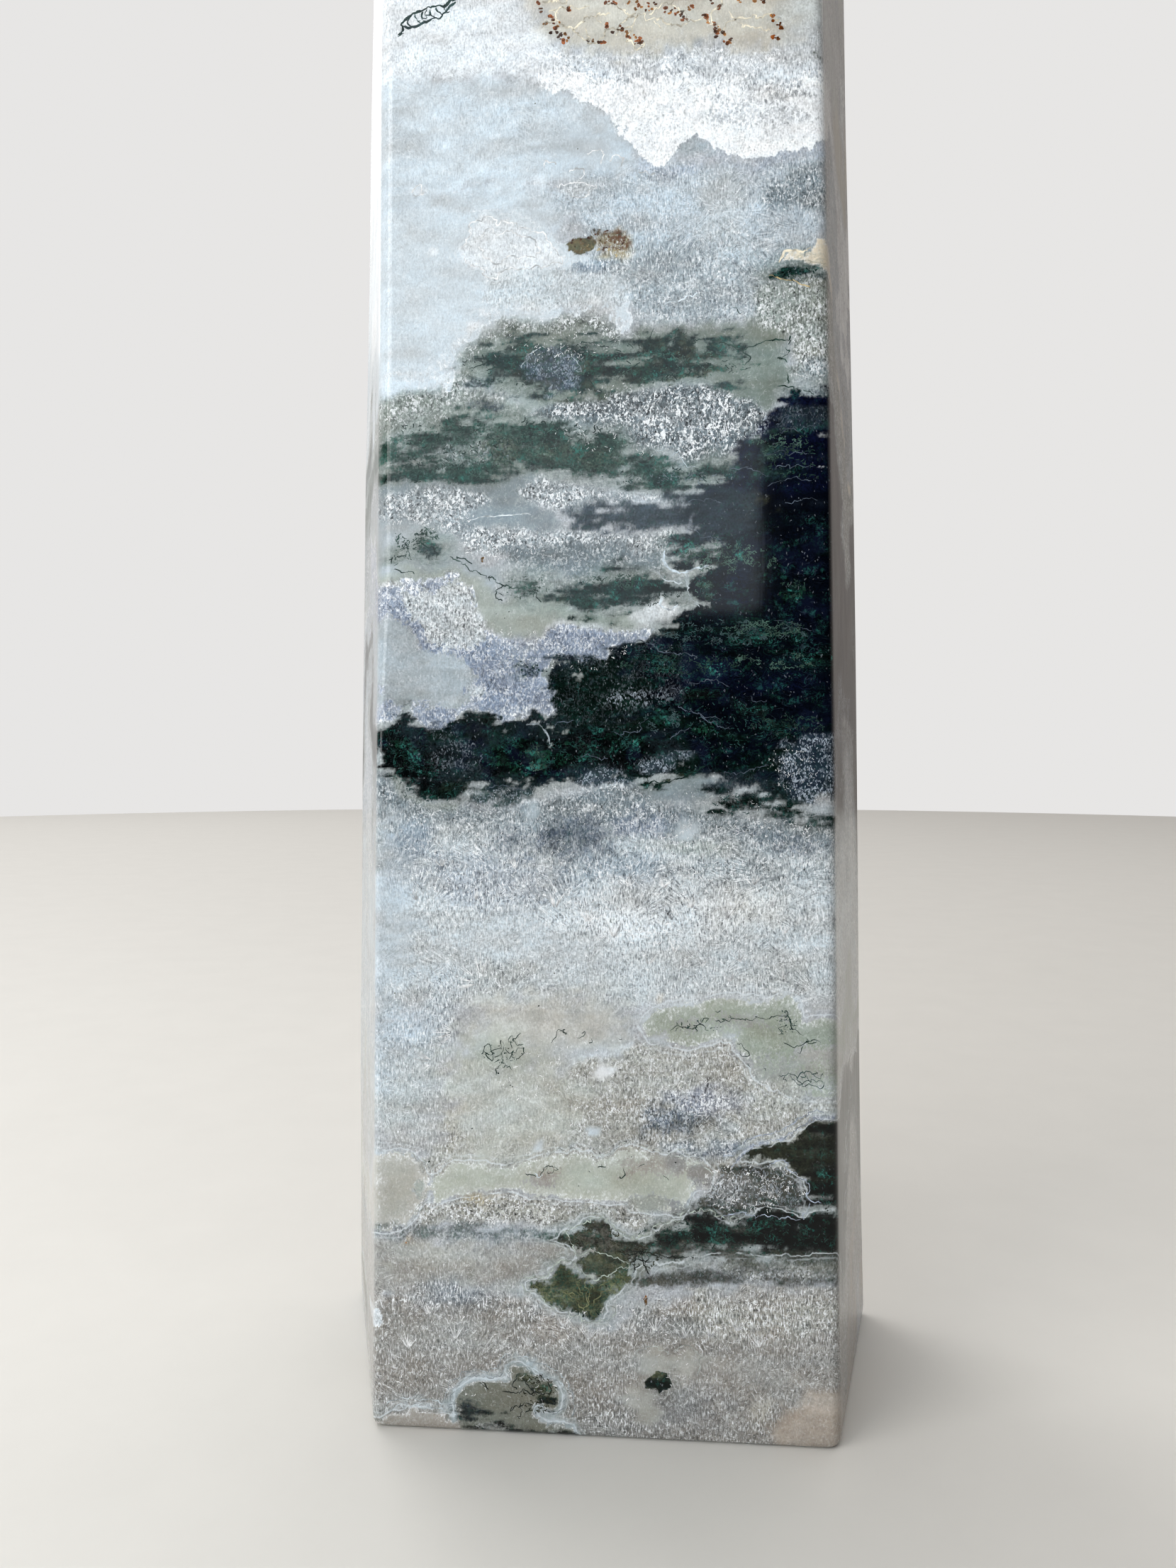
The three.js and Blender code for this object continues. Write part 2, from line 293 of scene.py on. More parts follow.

# Each line: shape (with + for a body of the dark layer), colour, strength, edge softness (px), edge raggedness, then what grows there,
# extra size numbers (ellipse radii and turn, or a line's width), and the points in photograph pixels.
# Two small white ellipses (chalk at 1168,2025 and fleece at 1156,2028) are a painted highlight: a glint on the rounded
# front-right corner of the foot.
FEATURES = """
poly|milk|0.9|18.9|1|need=0.4 glit=0.2||528,-189 764,-189 757,28 764,57 783,76 802,113 764,118 717,111 642,113 594,118 528,142
poly|sky|0.95|6.6|1|need=0.25 glit=0.08 frost=0.6||528,113 594,116 642,112 689,109 736,112 764,124 802,132 830,147 854,158 867,179 878,203 894,219 907,236 878,245 830,245 783,257 736,257 689,252 642,264 528,274
poly|sky|0.95|21.2|1|need=0.15 glit=0.1 frost=0.8||528,255 594,262 651,257 698,248 745,255 788,269 793,302 783,359 793,425 830,613 528,613
poly|ice|0.95|14.2|1|need=0.6 glit=0.2 frost=0||764,271 830,241 878,238 906,234 953,227 1010,236 1066,236 1161,212 1161,425 778,425 807,392 783,359 826,330 802,302
poly|dusk|0.8|14.2|1|need=0.5 glit=0.5||764,352 1166,352 1168,479 1113,460 1057,451 1000,451 953,460 911,460 896,437 878,399 830,380
line|lichen|0.85|14.2|1|glit=0.9 need=0.3 frost=0|21.7|542,573 585,566 623,564 656,536 660,507 689,481 722,463 764,465 807,458 849,458 878,489 906,474
poly|sky|0.97|1.9|1.5|need=0.12 glit=0.12 frost=0.8 frill=0||528,300 727,300 793,338 830,361 852,388 873,403 885,420 890,436 888,456 878,472 867,456 851,436 826,439 795,444 774,452 745,444 713,447 691,456 676,470 661,485 647,498 638,518 641,536 630,548 624,538 614,532 609,546 594,543 587,536 562,539 528,545
line+|pitch|0.001|14.2|1|frill=1|28.3|528,545 562,539 587,536 609,546 624,538 641,536 638,518 661,485 691,456 713,447 745,444 774,452 795,444 826,439 851,436 867,456 878,472 888,456 890,436 885,420 873,403
poly|snow|0.98|2.4|1.3|need=0.35 glit=0.35 frost=0||764,127 802,130 826,144 852,152 862,166 873,191 893,213 912,233 927,233 945,222 954,203 978,194 999,198 1011,210 1043,218 1080,224 1110,212 1147,209 1160,200 1166,85 1128,56 1057,76 991,66 925,79 878,83 830,75 783,71 755,80 757,109
poly|milk|0.6|14.2|1|need=0.6 glit=0.3||764,57 830,71 925,76 991,61 1057,71 1128,52 1166,42 1166,113 1066,118 972,109 901,113 830,109 783,94
ell|ice|0.6|28.3|1|frost=0.8|61.3 33.0 0|830,208
ell|sky|0.5|23.6|1|need=0.4|70.8 23.6 0.1|722,156
ell|snow|0.5|23.6|1||94.4 28.3 0|1057,156
line|lilac|0.55|14.2|1|glit=0.3|14.2|906,236 948,245 981,227 1019,222 1057,241 1095,222 1161,208
ell|dusk|0.8|6.6|1||26.0 10.4 0|981,208
poly|sand|0.85|20.8|1|need=0.1 glit=0.05 frost=0.8||755,-5 759,28 764,46 783,60 821,67 859,73 892,79 925,72 953,61 991,56 1029,65 1057,70 1095,60 1128,51 1161,33 1161,-5 1113,-142 830,-142
ell|mist|0.6|23.6|1|glit=0.2|33.0 51.9 0|1132,28
ell|oat|0.55|23.6|1||89.7 33.0 0|887,42
ell|oat|0.4|23.6|1||70.8 28.3 0|1029,28
ell+|reed|0.6|3.8|1||11.3 4.2 0.3|1149,72
poly|milk|0.8|3.3|1.6|need=0.3 glit=0.3 rim=0.2||650,350 663,326 672,309 693,307 708,317 722,311 745,326 764,330 783,347 794,367 764,378 731,380 713,378 701,394 688,393 679,380 660,376
poly|pearl|0.6|6.6|1|glit=0.3||783,264 821,255 849,264 830,278 802,283
ell|milk|0.8|6.6|1||10.4 8.5 0|613,356
ell|milk|0.6|7.6|1||12.3 9.4 0|590,269
ell|milk|0.6|6.6|1||12.3 6.6 0|757,257
ell|ice|0.5|18.9|1||18.9 14.2 0|561,302
poly|lead|0.75|12.3|1|glit=0.5||1071,283 1090,260 1113,243 1147,234 1164,222 1166,283 1151,302 1123,288 1099,295
ell|steel|0.7|23.6|1|need=0.7 glit=0.2|56.6 28.3 0.1|953,363
ell|mist|0.6|18.9|1||28.3 51.9 0.3|1019,283
ell|thistle|0.7|8.5|1|need=0.9|28.3 10.4 0|830,378
ell|ash|0.5|18.9|1|glit=0.4|42.5 28.3 0|1033,349
ell+|khaki|0.97|2.4|0.6|rust=0.5|22.2 12.7 -0.12|819,346
ell|khaki|0.9|3.3|1|rust=1|24.5 15.1 0.05|866,341
ell|honey|0.6|3.8|1||18.9 6.6 0|869,359
ell+|bark|0.6|3.8|1||18.9 5.7 0.2|852,330
poly|cream|0.9|4.2|1|frost=0.6||1098,370 1109,354 1124,348 1135,359 1156,333 1167,326 1167,378 1132,370
poly|taupe|0.8|6.6|1|||1128,401 1161,387 1167,378 1167,472 1147,439
poly+|teal|0.95|5.0|1|moss=0.7||1083,387 1100,376 1132,367 1151,375 1167,378 1167,395 1147,393 1123,405 1096,397
ell|steel|0.5|18.9|1||70.8 21.2 -0.1|981,427
ell|ash|0.5|18.9|1|glit=0.5|51.9 28.3 0.2|1080,427
poly|mist|0.8|10.4|1|need=0.5 glit=0.3 frost=0.2||689,389 745,375 802,380 849,388 878,408 885,427 868,437 830,432 783,441 727,432 698,441 679,422
line|milk|0.75|6.6|1|glit=0.35|7.1|543,532 566,529 594,533 613,524 630,536 627,512 642,491 670,463 689,446 722,436 764,439 802,432 840,425 863,441 878,456
ell|porcelain|0.8|4.7|1||9.4 5.7 0|670,458
ell|porcelain|0.8|4.7|1||7.6 5.7 0|685,442
line|milk|0.7|5.7|1||4.7|670,375 703,385 745,378
poly|lichen|0.85|12.3|1|glit=0.15 need=0.1 frost=0.5||656,522 689,481 722,465 764,470 821,465 868,484 911,465 953,465 1000,456 1057,460 1090,470 1090,578 1047,569 1000,536 925,545 830,569 764,571 698,545
poly|lichen|0.85|12.3|1|frost=0.9||1000,465 1057,456 1109,460 1113,522 1090,583 1057,576 1029,555 1014,531
poly+|teal|0.86|11.3|1.4|moss=0.65||663,522 679,504 703,491 727,476 757,479 783,489 809,488 830,482 860,498 892,501 910,493 915,474 939,472 965,477 992,480 1019,474 1043,482 1051,493 1037,507 1010,517 981,522 953,531 925,538 896,541 868,548 840,557 811,562 783,559 755,563 736,556 708,537 682,530
line+|forest|0.75|7.6|1|moss=1|13.2|802,522 859,517 915,514 962,507 1010,507
line+|teal|0.7|6.6|1|moss=0.6|6.6|684,517 708,503 736,489
line+|forest|0.7|4.7|1|moss=0.9|5.7|915,491 953,489 991,491
line+|deep_grey|0.7|5.7|1|moss=0.5|5.7|736,540 755,557 783,557
poly+|heather|0.85|4.7|1.4|glit=0.7 moss=0.1||742,518 755,499 778,489 802,498 823,517 808,545 783,556 761,546 745,537
ell+|teal_grey|0.8|7.6|1|moss=0.5|24.5 8.5 0|1014,548
line+|reed|0.7|4.7|1||3.8|755,569 802,566 859,558 915,545 972,534 1019,525
poly|sage|0.8|9.4|1|glit=0.65 need=0.2||528,569 585,566 632,564 665,545 708,559 745,578 736,588 689,583 642,592 585,611 528,625
ell+|slate|0.7|7.6|1|glit=0.3|20.8 9.4 0|684,569
line+|slate|0.6|7.6|1||6.6|665,536 698,552 745,569
poly|iron|0.95|5.7|1|glit=1 need=0.3 frost=0||743,584 764,573 802,569 849,562 896,553 948,543 996,541 1029,557 1066,567 1085,583 1081,608 1058,618 1039,625 1029,644 1000,650 978,659 962,650 939,631 915,636 897,630 878,611 840,602 802,596 764,591
ell|iron|0.5|12.3|1|glit=1|61.3 16.0 0|925,569
ell|ice|0.4|17.0|1|glit=1|61.3 18.9 0|925,592
line|steel|0.6|2.8|1||2.4|882,616 892,635 915,639 939,630 960,637
poly|fog|0.85|10.4|1|glit=0.75 need=0.4||1066,408 1113,399 1167,399 1167,540 1147,536 1118,522 1118,474 1085,460 1062,446
ell|steel|0.7|6.6|1||20.8 17.0 0|1147,517
poly+|navy|0.97|6.6|1|moss=0.25||1033,625 1057,611 1083,583 1109,559 1137,550 1172,551 1175,805 1057,805 1047,772 1010,710 991,682 1029,663
poly+|storm|0.85|5.7|1|glit=0.35||1090,588 1113,571 1151,569 1172,571 1172,602 1132,607 1099,602
line+|teal|0.7|4.7|1|moss=0.8|4.7|1099,545 1132,550 1172,556
line+|forest|0.8|6.6|1|moss=0.9|9.4|1071,630 1113,616 1172,614
line+|night_green|0.8|5.7|1|moss=0.8|7.6|1080,673 1128,663 1172,658
poly+|fern|0.93|10.6|1|moss=0.5 frost=0 glit=0.1||528,630 571,616 604,607 642,593 670,588 698,583 736,588 764,598 793,607 830,617 859,612 878,622 888,640 911,645 939,650 962,663 978,666 996,655 1029,650 1057,642 1085,625 1095,673 1052,675 1019,670 991,675 962,682 925,684 896,679 859,674 821,669 783,664 755,661 722,674 689,684 651,683 613,676 576,680 528,684
line|umber|0.6|11.3|1||14.2|547,663 594,651 632,644
line+|pine|0.75|6.6|1|moss=0.7|6.6|594,616 623,607 651,595
line+|pine|0.8|6.6|1|moss=0.8|7.6|698,592 727,595 755,611 793,614 830,625 859,625 873,614
line+|teal|0.8|4.7|1|moss=0.8|5.2|547,679 585,677 618,673 656,682 698,682 731,670 750,658
line+|teal|0.8|4.7|1|moss=0.8|5.7|887,644 915,658 925,673 953,676 981,673 1000,656
line+|teal|0.7|5.7|1|moss=0.7|6.6|1000,668 1047,668 1085,663
ell+|teal_grey|0.7|4.7|1|moss=0.6|5.7 16.0 0.1|715,687
ell|lichen|0.7|9.4|1|glit=0.7|37.8 13.2 -0.1|665,640
ell+|reed|0.6|12.3|1|glit=0.3|23.6 23.6 0|708,635
ell+|reed|0.5|10.4|1||56.6 12.3 0.1|811,644
line|lead|0.5|2.8|1||2.8|906,647 929,637 953,640 962,658 981,649
poly|lead|0.85|10.4|1|frost=0.7 glit=0.05||528,682 613,678 689,686 745,668 755,682 736,696 764,720 793,739 764,753 698,743 651,753 594,739 528,739
poly|silver|0.92|6.6|1|glit=1||735,693 764,672 802,682 840,695 901,699 981,699 977,707 906,707 830,714 802,725 764,711 742,703
poly+|slate|0.92|8.5|1|frost=0.6 glit=0.03||802,730 830,716 878,712 925,709 972,705 1019,697 1066,691 1080,710 1080,786 1019,772 972,748 925,751 859,751 821,744
poly|silver|0.92|7.6|1|glit=0.95||528,710 571,691 613,688 656,695 691,706 670,718 646,729 652,758 632,750 604,740 557,730 528,732
poly|silver|0.92|7.6|1|glit=0.95 need=0.3||637,748 689,742 764,752 830,754 906,753 954,748 944,772 929,791 830,787 764,805 708,786 656,776
poly|silver|0.85|9.4|1|frost=0.8||528,734 604,743 642,758 660,786 698,805 698,833 528,833
poly+|shale|0.8|9.4|1|frost=0.6||977,706 1019,682 1066,675 1085,710 1080,795 1010,781 972,758 967,729
line|heather|0.5|2.4|1||1.9|972,758 975,729 991,713 1019,710
poly+|ink|0.95|6.6|1|||1073,682 1113,687 1172,682 1175,805 1062,805 1066,739
line+|storm|0.5|2.8|1||1.9|1095,710 1128,706 1161,710
line+|slate|0.5|2.4|1||1.9|1080,644 1109,637 1142,644 1172,640
line+|storm|0.5|2.4|1||1.9|1085,658 1118,654 1147,658
poly|fog|0.9|7.6|1|frost=0.8 glit=0.05||528,807 594,802 642,802 679,817 708,845 736,845 793,840 811,859 859,869 887,861 915,873 878,897 830,887 793,876 764,897 736,902 703,897 679,873 660,836 594,819 528,821
poly|iron|0.85|11.3|1|frost=0.4 glit=0.4||708,769 793,765 878,769 939,784 939,812 878,812 830,817 764,812 722,793
line|silver|0.7|5.7|1|glit=0.9|6.6|764,819 802,821 830,819
poly+|teal|0.88|11.3|1|moss=0.6||783,836 811,824 840,814 868,811 906,813 939,816 967,825 978,840 967,852 934,848 915,856 887,865 859,869 830,858 802,850
line+|deep_grey|0.8|4.7|1|moss=1|6.6|849,816 878,819 911,824
line+|night_green|0.85|5.7|1|moss=0.5|11.3|925,831 953,831 972,840
ell+|fern|0.8|6.6|1|moss=0.75|21.7 16.0 0|745,826
ell+|fern|0.6|5.7|1|moss=0.6|14.2 6.6 0|826,850
ell+|teal_grey|0.85|5.7|1|moss=0.85|16.0 14.2 0|606,774
ell|lichen|0.6|7.6|1|moss=0.5|20.8 12.3 0|557,779
poly|dawn|0.96|4.2|1.3|glit=0.6 need=0.45 frost=0||528,819 594,816 642,809 665,831 679,873 703,898 745,907 767,899 790,878 830,888 878,894 925,887 915,903 887,915 862,915 854,941 832,945 808,933 783,931 764,948 785,966 798,982 791,1005 775,1011 750,1003 728,1013 710,1027 690,1010 666,1003 648,1013 647,1039 614,1039 596,1024 580,1002 557,1012 528,1020
poly|dusk|0.8|14.2|1|glit=0.15 frost=0.6||528,873 566,878 594,916 642,916 670,949 660,996 594,1001 528,996
poly|mist|0.8|8.5|1|glit=0.7 need=0.5||566,831 613,831 646,817 665,845 689,902 660,916 623,916 594,897 576,869
line|pearl|0.85|2.8|1.2||2.8|528,824 594,820 637,817 656,821 672,864 689,887 703,898 736,902 746,910 764,900 783,878 807,880 840,887 873,892 906,886 929,881 948,873 972,857
ell|violet|0.5|16.0|1||28.3 18.9 0|727,920
line|lilac|0.6|3.8|1||3.8|793,935 826,949 854,946
line|violet|0.6|3.8|1||3.8|722,1008 750,1001 778,1010 793,996 783,977
ell|sky|0.85|5.7|1||11.3 11.3 0|670,978
ell|sky|0.75|4.7|1||6.6 8.5 0|642,991
poly+|shale|0.93|7.1|1.4|glit=0.35 moss=0.35||763,949 783,931 808,932 833,945 855,943 863,915 892,914 925,892 972,902 972,1024 925,1024 887,1043 830,1029 793,1034 764,1024 778,1015 802,987 785,966
ell+|forest|0.7|8.5|1|moss=0.8|18.9 28.3 -0.5|830,968
ell+|slate|0.8|7.6|1|glit=1|37.8 11.3 -0.1|899,984
ell+|storm|0.6|5.7|1|moss=0.7|17.0 10.4 0.3|745,942
poly+|night_green|0.97|4.7|1|moss=0.3 streak=0.6||769,949 830,939 892,914 939,886 995,854 1014,788 1062,760 1071,732 1177,732 1179,1119 1113,1133 1066,1109 1000,1090 906,1100 830,1090 764,1109 660,1109 613,1090 557,1062 528,1043 594,1029 651,1015 727,1024 793,1024 783,987
poly+|ink|0.96|8.5|1.4|moss=0.45||939,886 972,860 995,854 1010,817 991,793 1000,774 1062,760 1071,732 1177,732 1179,1053 1142,1039 1109,1049 1090,1062 1062,1075 1033,1087 1000,1086 979,1064 944,1064 951,1043 977,1024 962,1010 925,1005 906,987 925,968 901,944 878,925 906,907
poly+|deep_grey|0.85|8.5|1|moss=1||941,769 991,762 1033,765 1066,779 1088,805 1062,817 1029,812 1000,798 972,795 948,788
line+|forest|0.85|8.5|1|moss=1 streak=1|13.2|953,892 991,887 1029,902 1066,902 1095,892 1128,897
line+|teal|0.8|6.6|1|moss=1 streak=1|10.4|1033,878 1076,887 1118,883
line+|forest|0.85|7.6|1|moss=1 streak=1|10.4|892,925 925,932 972,939 1014,949
line+|teal|0.8|6.6|1|moss=1 streak=1|9.4|1043,939 1080,932 1113,925 1151,930
line+|pitch|0.9|4.7|1|streak=1|4.7|981,916 1019,923 1057,925 1104,920 1170,918
line+|pitch|0.9|5.7|1|streak=1|6.6|1019,958 1090,949 1175,953
ell+|navy|0.7|14.2|1||56.6 17.0 0|1033,963
ell+|navy|0.7|12.3|1||42.5 12.3 0|1118,963
line+|char|0.8|5.7|1|moss=1 streak=1|5.7|972,982 1000,977 1033,996 1076,1005
ell+|teal|0.85|6.6|1|moss=1|22.7 14.2 0.2|934,1012
line+|night_green|0.8|6.6|1|moss=1|10.4|981,1017 1019,1034 1047,1043
line+|forest|0.8|6.6|1|moss=1 streak=1|6.6|1066,1029 1104,1024 1151,1015
ell+|forest|0.8|7.6|1|moss=1|20.8 11.3 0|1118,831
poly+|navy|0.6|5.7|1|||1017,817 1043,812 1062,826 1062,854 1043,861 1024,850 1010,836
ell+|ink|0.96|2.8|1|moss=0.3|17.9 19.8 0|992,831
ell+|pine|0.9|4.7|1|moss=0.8|9.4 9.4 0|994,829
line|ice|0.85|2.4|1||2.4|972,817 968,831 973,846 986,854
poly|pearl|0.85|5.7|1|glit=0.3||878,876 901,861 927,848 953,854 965,861 937,873 908,881
line|milk|0.9|2.8|1||3.3|927,850 937,843 933,857 951,860 957,854
line|mist|0.9|2.8|0.5||4.2|937,774 935,790 944,803 961,808 977,805 991,799 999,800
line|ash|0.7|2.8|1||2.8|965,810 986,816 996,806
line|ice|0.7|1.9|1|glit=0.5|2.4|927,807 939,819 960,821 972,816
poly+|deep_grey|0.95|6.4|1.3|moss=0.35 glit=0.25||528,1031 552,1017 571,1005 580,1004 596,1025 614,1040 647,1040 649,1014 666,1004 690,1011 710,1028 728,1015 750,1004 776,1017 802,1024 830,1024 878,1038 915,1034 953,1043 986,1062 977,1086 925,1076 896,1090 859,1090 830,1086 811,1095 764,1109 727,1112 689,1109 660,1105 656,1121 642,1131 613,1128 576,1120 579,1107 547,1093 528,1086
poly+|pitch|0.96|5.7|1.5|moss=0.8||528,1034 552,1027 576,1043 601,1062 624,1067 628,1088 609,1104 585,1110 547,1091 528,1083
poly+|pitch|0.97|5.0|1.5|moss=0.7||679,1062 689,1048 712,1043 736,1031 755,1043 774,1053 802,1036 830,1030 859,1031 887,1044 907,1039 915,1052 930,1058 925,1072 907,1081 887,1088 864,1082 845,1068 822,1068 808,1082 783,1095 755,1101 727,1096 698,1100 679,1086
ell+|deep_grey|0.5|12.3|1|glit=0.5|28.3 23.6 0|642,1067
ell+|char|0.8|6.6|1|moss=0.5|23.6 16.0 0|675,1024
ell+|teal_grey|0.75|7.6|1|moss=1|16.0 16.0 0|757,1067
ell+|night_green|0.8|5.7|1|moss=1|16.0 12.3 0|703,1067
ell+|forest|0.7|5.7|1|moss=1|14.2 9.4 0|899,1050
ell+|char|0.6|3.8|1||14.2 7.6 0|885,1017
line|steel|0.85|2.4|0.5||2.8|742,1023 759,1021 771,1034 776,1052
line+|pine|0.6|2.8|0.5||5.7|745,1027 759,1025 768,1037
poly+|night_green|0.9|6.4|1|moss=0.8||576,1120 585,1107 609,1112 642,1109 657,1121 642,1131 613,1128
line+|olive|0.5|4.7|1||3.8|627,1110 665,1113 698,1115
poly+|storm|0.92|6.6|1|glit=1 need=0.2||1094,1067 1113,1049 1137,1038 1163,1038 1177,1067 1175,1123 1142,1140 1113,1123 1102,1098
poly+|slate|0.9|4.7|1|glit=1||906,1081 925,1071 953,1067 986,1062 981,1076 953,1086 920,1092
poly+|slate|0.9|4.7|1|glit=0.9||811,1107 830,1097 841,1081 850,1075 863,1090 878,1101 892,1107 859,1112
poly+|teal_grey|0.85|6.6|1|glit=0.7||689,1112 727,1114 755,1110 745,1128 717,1138 679,1138 660,1123
poly|lead|0.85|8.5|1|frost=0.6||896,1112 925,1107 953,1097 991,1086 1019,1100 1010,1123 972,1133 925,1133 906,1126
line+|forest|0.85|4.2|1|moss=0.8|4.7|907,1108 934,1102 965,1096 996,1082
poly+|night_green|0.93|9.9|1|moss=0.8||1004,1140 1022,1124 1047,1120 1071,1117 1104,1124 1124,1138 1113,1152 1080,1143 1043,1140 1019,1149
poly+|shale|0.85|7.6|1|glit=0.3||1000,1090 1038,1090 1085,1086 1109,1123 1071,1115 1029,1121 1005,1133
line+|forest|0.7|5.7|1|moss=0.8|8.5|1057,1090 1085,1086 1093,1100
poly|lead|0.9|7.6|1|glit=0.55 need=0.4 frost=0||528,1090 557,1107 576,1123 613,1138 651,1138 689,1140 727,1138 764,1127 802,1123 826,1113 859,1110 892,1108 925,1133 972,1138 1000,1147 1043,1152 1090,1159 1128,1161 1180,1156 1180,1232 528,1232
line|sky|0.75|2.8|1||3.3|722,1141 745,1132 769,1126 802,1123 821,1114 849,1109 888,1107
line|sage|0.7|7.6|1||8.5|557,1100 571,1121 604,1135 642,1138
ell|ash|0.8|5.7|1|frost=0.9|16.0 14.2 0|967,1166
ell|dusk|0.7|5.7|1|frost=0.9|10.4 13.2 0|748,1146
ell|steel|0.6|9.4|1||23.6 8.5 0|972,1133
poly|mist|0.85|28.3|1|need=0.75 glit=0.3 frost=0||528,1149 642,1159 783,1168 925,1168 1019,1178 1113,1182 1180,1192 1180,1423 528,1423
ell+|heather|0.7|23.6|1|glit=0.4|47.2 20.8 0|816,1178
ell|heather|0.6|18.9|1|glit=0.4|42.5 14.2 0|901,1164
ell|thistle|0.65|20.8|1||28.3 23.6 0|580,1187
ell+|heather|0.6|20.8|1|glit=0.7|61.3 18.9 0.1|1113,1187
line+|forest|0.8|11.3|1|moss=0.5|11.3|996,1131 1057,1135 1113,1145 1180,1168
line|steel|0.6|7.6|1|glit=0.6|6.6|1010,1159 1057,1154 1104,1168 1180,1197
ell|ash|0.85|4.7|1|frost=0.9|15.6 13.7 0|967,1171
ell|celadon|0.5|9.4|1||56.6 7.6 0|977,1196
ell|sky|0.75|37.8|1|need=0.4 glit=0.3|113.3 42.5 0|727,1338
ell|milk|0.8|20.8|1|need=1|61.3 23.6 0|868,1300
ell|chalk|0.6|20.8|1|need=1|56.6 23.6 0.1|1052,1277
ell|sky|0.5|18.9|1|need=0.9|47.2 18.9 0|953,1272
ell|dusk|0.5|18.9|1|need=0.8|56.6 28.3 0|830,1263
ell|pewter|0.6|18.9|1|need=1|47.2 23.6 0|710,1376
ell|pewter|0.6|16.0|1|need=0.9|51.9 18.9 0|1099,1376
ell|ice|0.75|33.0|1|frost=0.5 need=0.3|33.0 103.8 0|552,1300
ell|ice|0.6|23.6|1|need=0.9|33.0 61.3 0.3|618,1442
ell|ice|0.8|33.0|1|need=0.7|56.6 94.4 0|561,1499
poly|parchment|0.5|44.8|1|frost=0.7 glit=0.12 need=0.1||656,1442 689,1418 727,1407 783,1404 830,1410 873,1418 892,1435 897,1461 887,1485 859,1493 826,1495 802,1503 783,1527 764,1565 642,1565 637,1527 646,1480
ell|mortar|0.65|23.6|1|frost=0.7|47.2 31.1 0|708,1485
ell|fleece|0.5|28.3|1||94.4 33.0 0|755,1442
line|sky|0.6|2.8|1|glit=0.2|2.8|802,1501 830,1489 868,1490 890,1478 895,1455 883,1442
poly|mortar|0.85|4.7|1.1|frost=0.8 glit=0.1 rim=0.8||904,1443 925,1424 954,1417 992,1410 1043,1405 1081,1410 1113,1402 1133,1423 1137,1442 1180,1423 1180,1546 1137,1551 1099,1539 1066,1516 1047,1489 1033,1466 1010,1467 981,1476 945,1478 917,1467
ell|moth|0.5|12.3|1|frost=0.8|80.2 16.0 -0.05|1029,1442
ell|moth|0.5|18.9|1||66.1 26.4 0|1104,1513
ell|dove|0.6|9.4|1||28.3 12.3 0|1151,1485
line|sky|0.7|4.7|1||4.2|907,1444 927,1426 955,1418 993,1412 1043,1407 1083,1413 1113,1404 1132,1418
line|sky|0.6|3.8|1||3.8|915,1466 944,1478 981,1476 1007,1468 1033,1465
line|fleece|0.6|3.3|1||3.3|1151,1418 1147,1437 1161,1449 1180,1451
line|ice|0.6|3.8|1||3.8|1036,1470 1047,1499 1066,1518 1099,1541 1137,1553
ell|sky|0.7|7.6|1||14.2 10.4 0|927,1470
poly|stone|0.88|8.5|1|glit=0.42 need=0.5 frost=0||802,1508 830,1494 878,1493 901,1470 944,1481 986,1478 1029,1470 1047,1499 1066,1518 1099,1541 1137,1553 1180,1555 1180,1659 528,1659 764,1565
ell|porcelain|0.95|5.2|1|frost=1|12.3 11.3 0|849,1513
ell|milk|0.9|2.4|1|frost=1|5.7 3.8 0|861,1510
ell|chalk|0.9|2.4|1||4.7 4.7 0|932,1409
poly|parchment|0.4|51.9|1|need=0.6 frost=0.3||528,1492 613,1492 637,1539 627,1605 609,1629 528,1621
poly|parchment|0.75|28.3|1|glit=0.12 need=0.3||632,1501 783,1501 830,1548 793,1624 727,1633 656,1633 632,1605 637,1558
ell|oat|0.4|10.4|1||12.3 12.3 0|642,1570
ell|oat|0.45|10.4|1|glit=0.6|12.3 18.9 0|638,1605
ell+|heather|0.65|16.0|1|glit=0.9 need=0.6|51.9 21.7 0|948,1579
ell|violet|0.5|14.2|1|glit=0.8|51.9 17.0 0|1000,1553
ell|dusk|0.6|7.6|1||18.9 9.4 0|1024,1593
ell|thistle|0.6|12.3|1|glit=0.6|51.9 10.4 0.1|977,1621
ell|parchment|0.6|18.9|1|glit=0.5|56.6 20.8 0|1104,1548
ell|sky|0.95|2.8|1|frost=1|9.4 7.6 0|835,1592
ell|sky|0.9|4.2|1|frost=1|7.1 9.4 0.2|761,1616
ell|parchment|0.7|3.8|1|frost=1|10.4 13.2 0|682,1633
poly|stone|0.75|3.8|1|frost=0.9 rim=0.4||528,1626 561,1626 585,1631 606,1662 597,1690 580,1718 561,1735 528,1735
line|ice|0.6|2.4|1||2.4|528,1625 557,1624 583,1629 607,1647 611,1666
line|ice|0.6|2.4|1||2.4|609,1685 590,1709 571,1732
line|mortar|0.6|2.4|1||7.6|585,1676 594,1662 590,1683
poly|putty|0.82|2.8|0.8|frost=0.9 glit=0.06 rim=1||607,1662 642,1638 689,1644 727,1644 755,1634 783,1630 802,1633 812,1627 831,1629 838,1636 859,1631 873,1622 892,1618 912,1624 934,1632 953,1626 972,1633 991,1636 1006,1657 1001,1676 977,1676 972,1691 964,1709 947,1711 925,1709 906,1707 888,1698 830,1693 764,1689 717,1680 642,1686 607,1699
ell|taupe|0.6|12.3|1||28.3 14.2 0|764,1662
ell|taupe|0.6|11.3|1||56.6 14.2 0|925,1643
ell|fume|0.55|4.2|0.5|rim=0.9 frost=1|14.2 12.3 0|954,1641
ell|fume|0.6|4.2|0.6|rim=0.9 frost=1|17.0 17.9 0|987,1658
ell|fume|0.6|4.2|0.5|rim=0.9 frost=1|13.2 12.3 0|955,1700
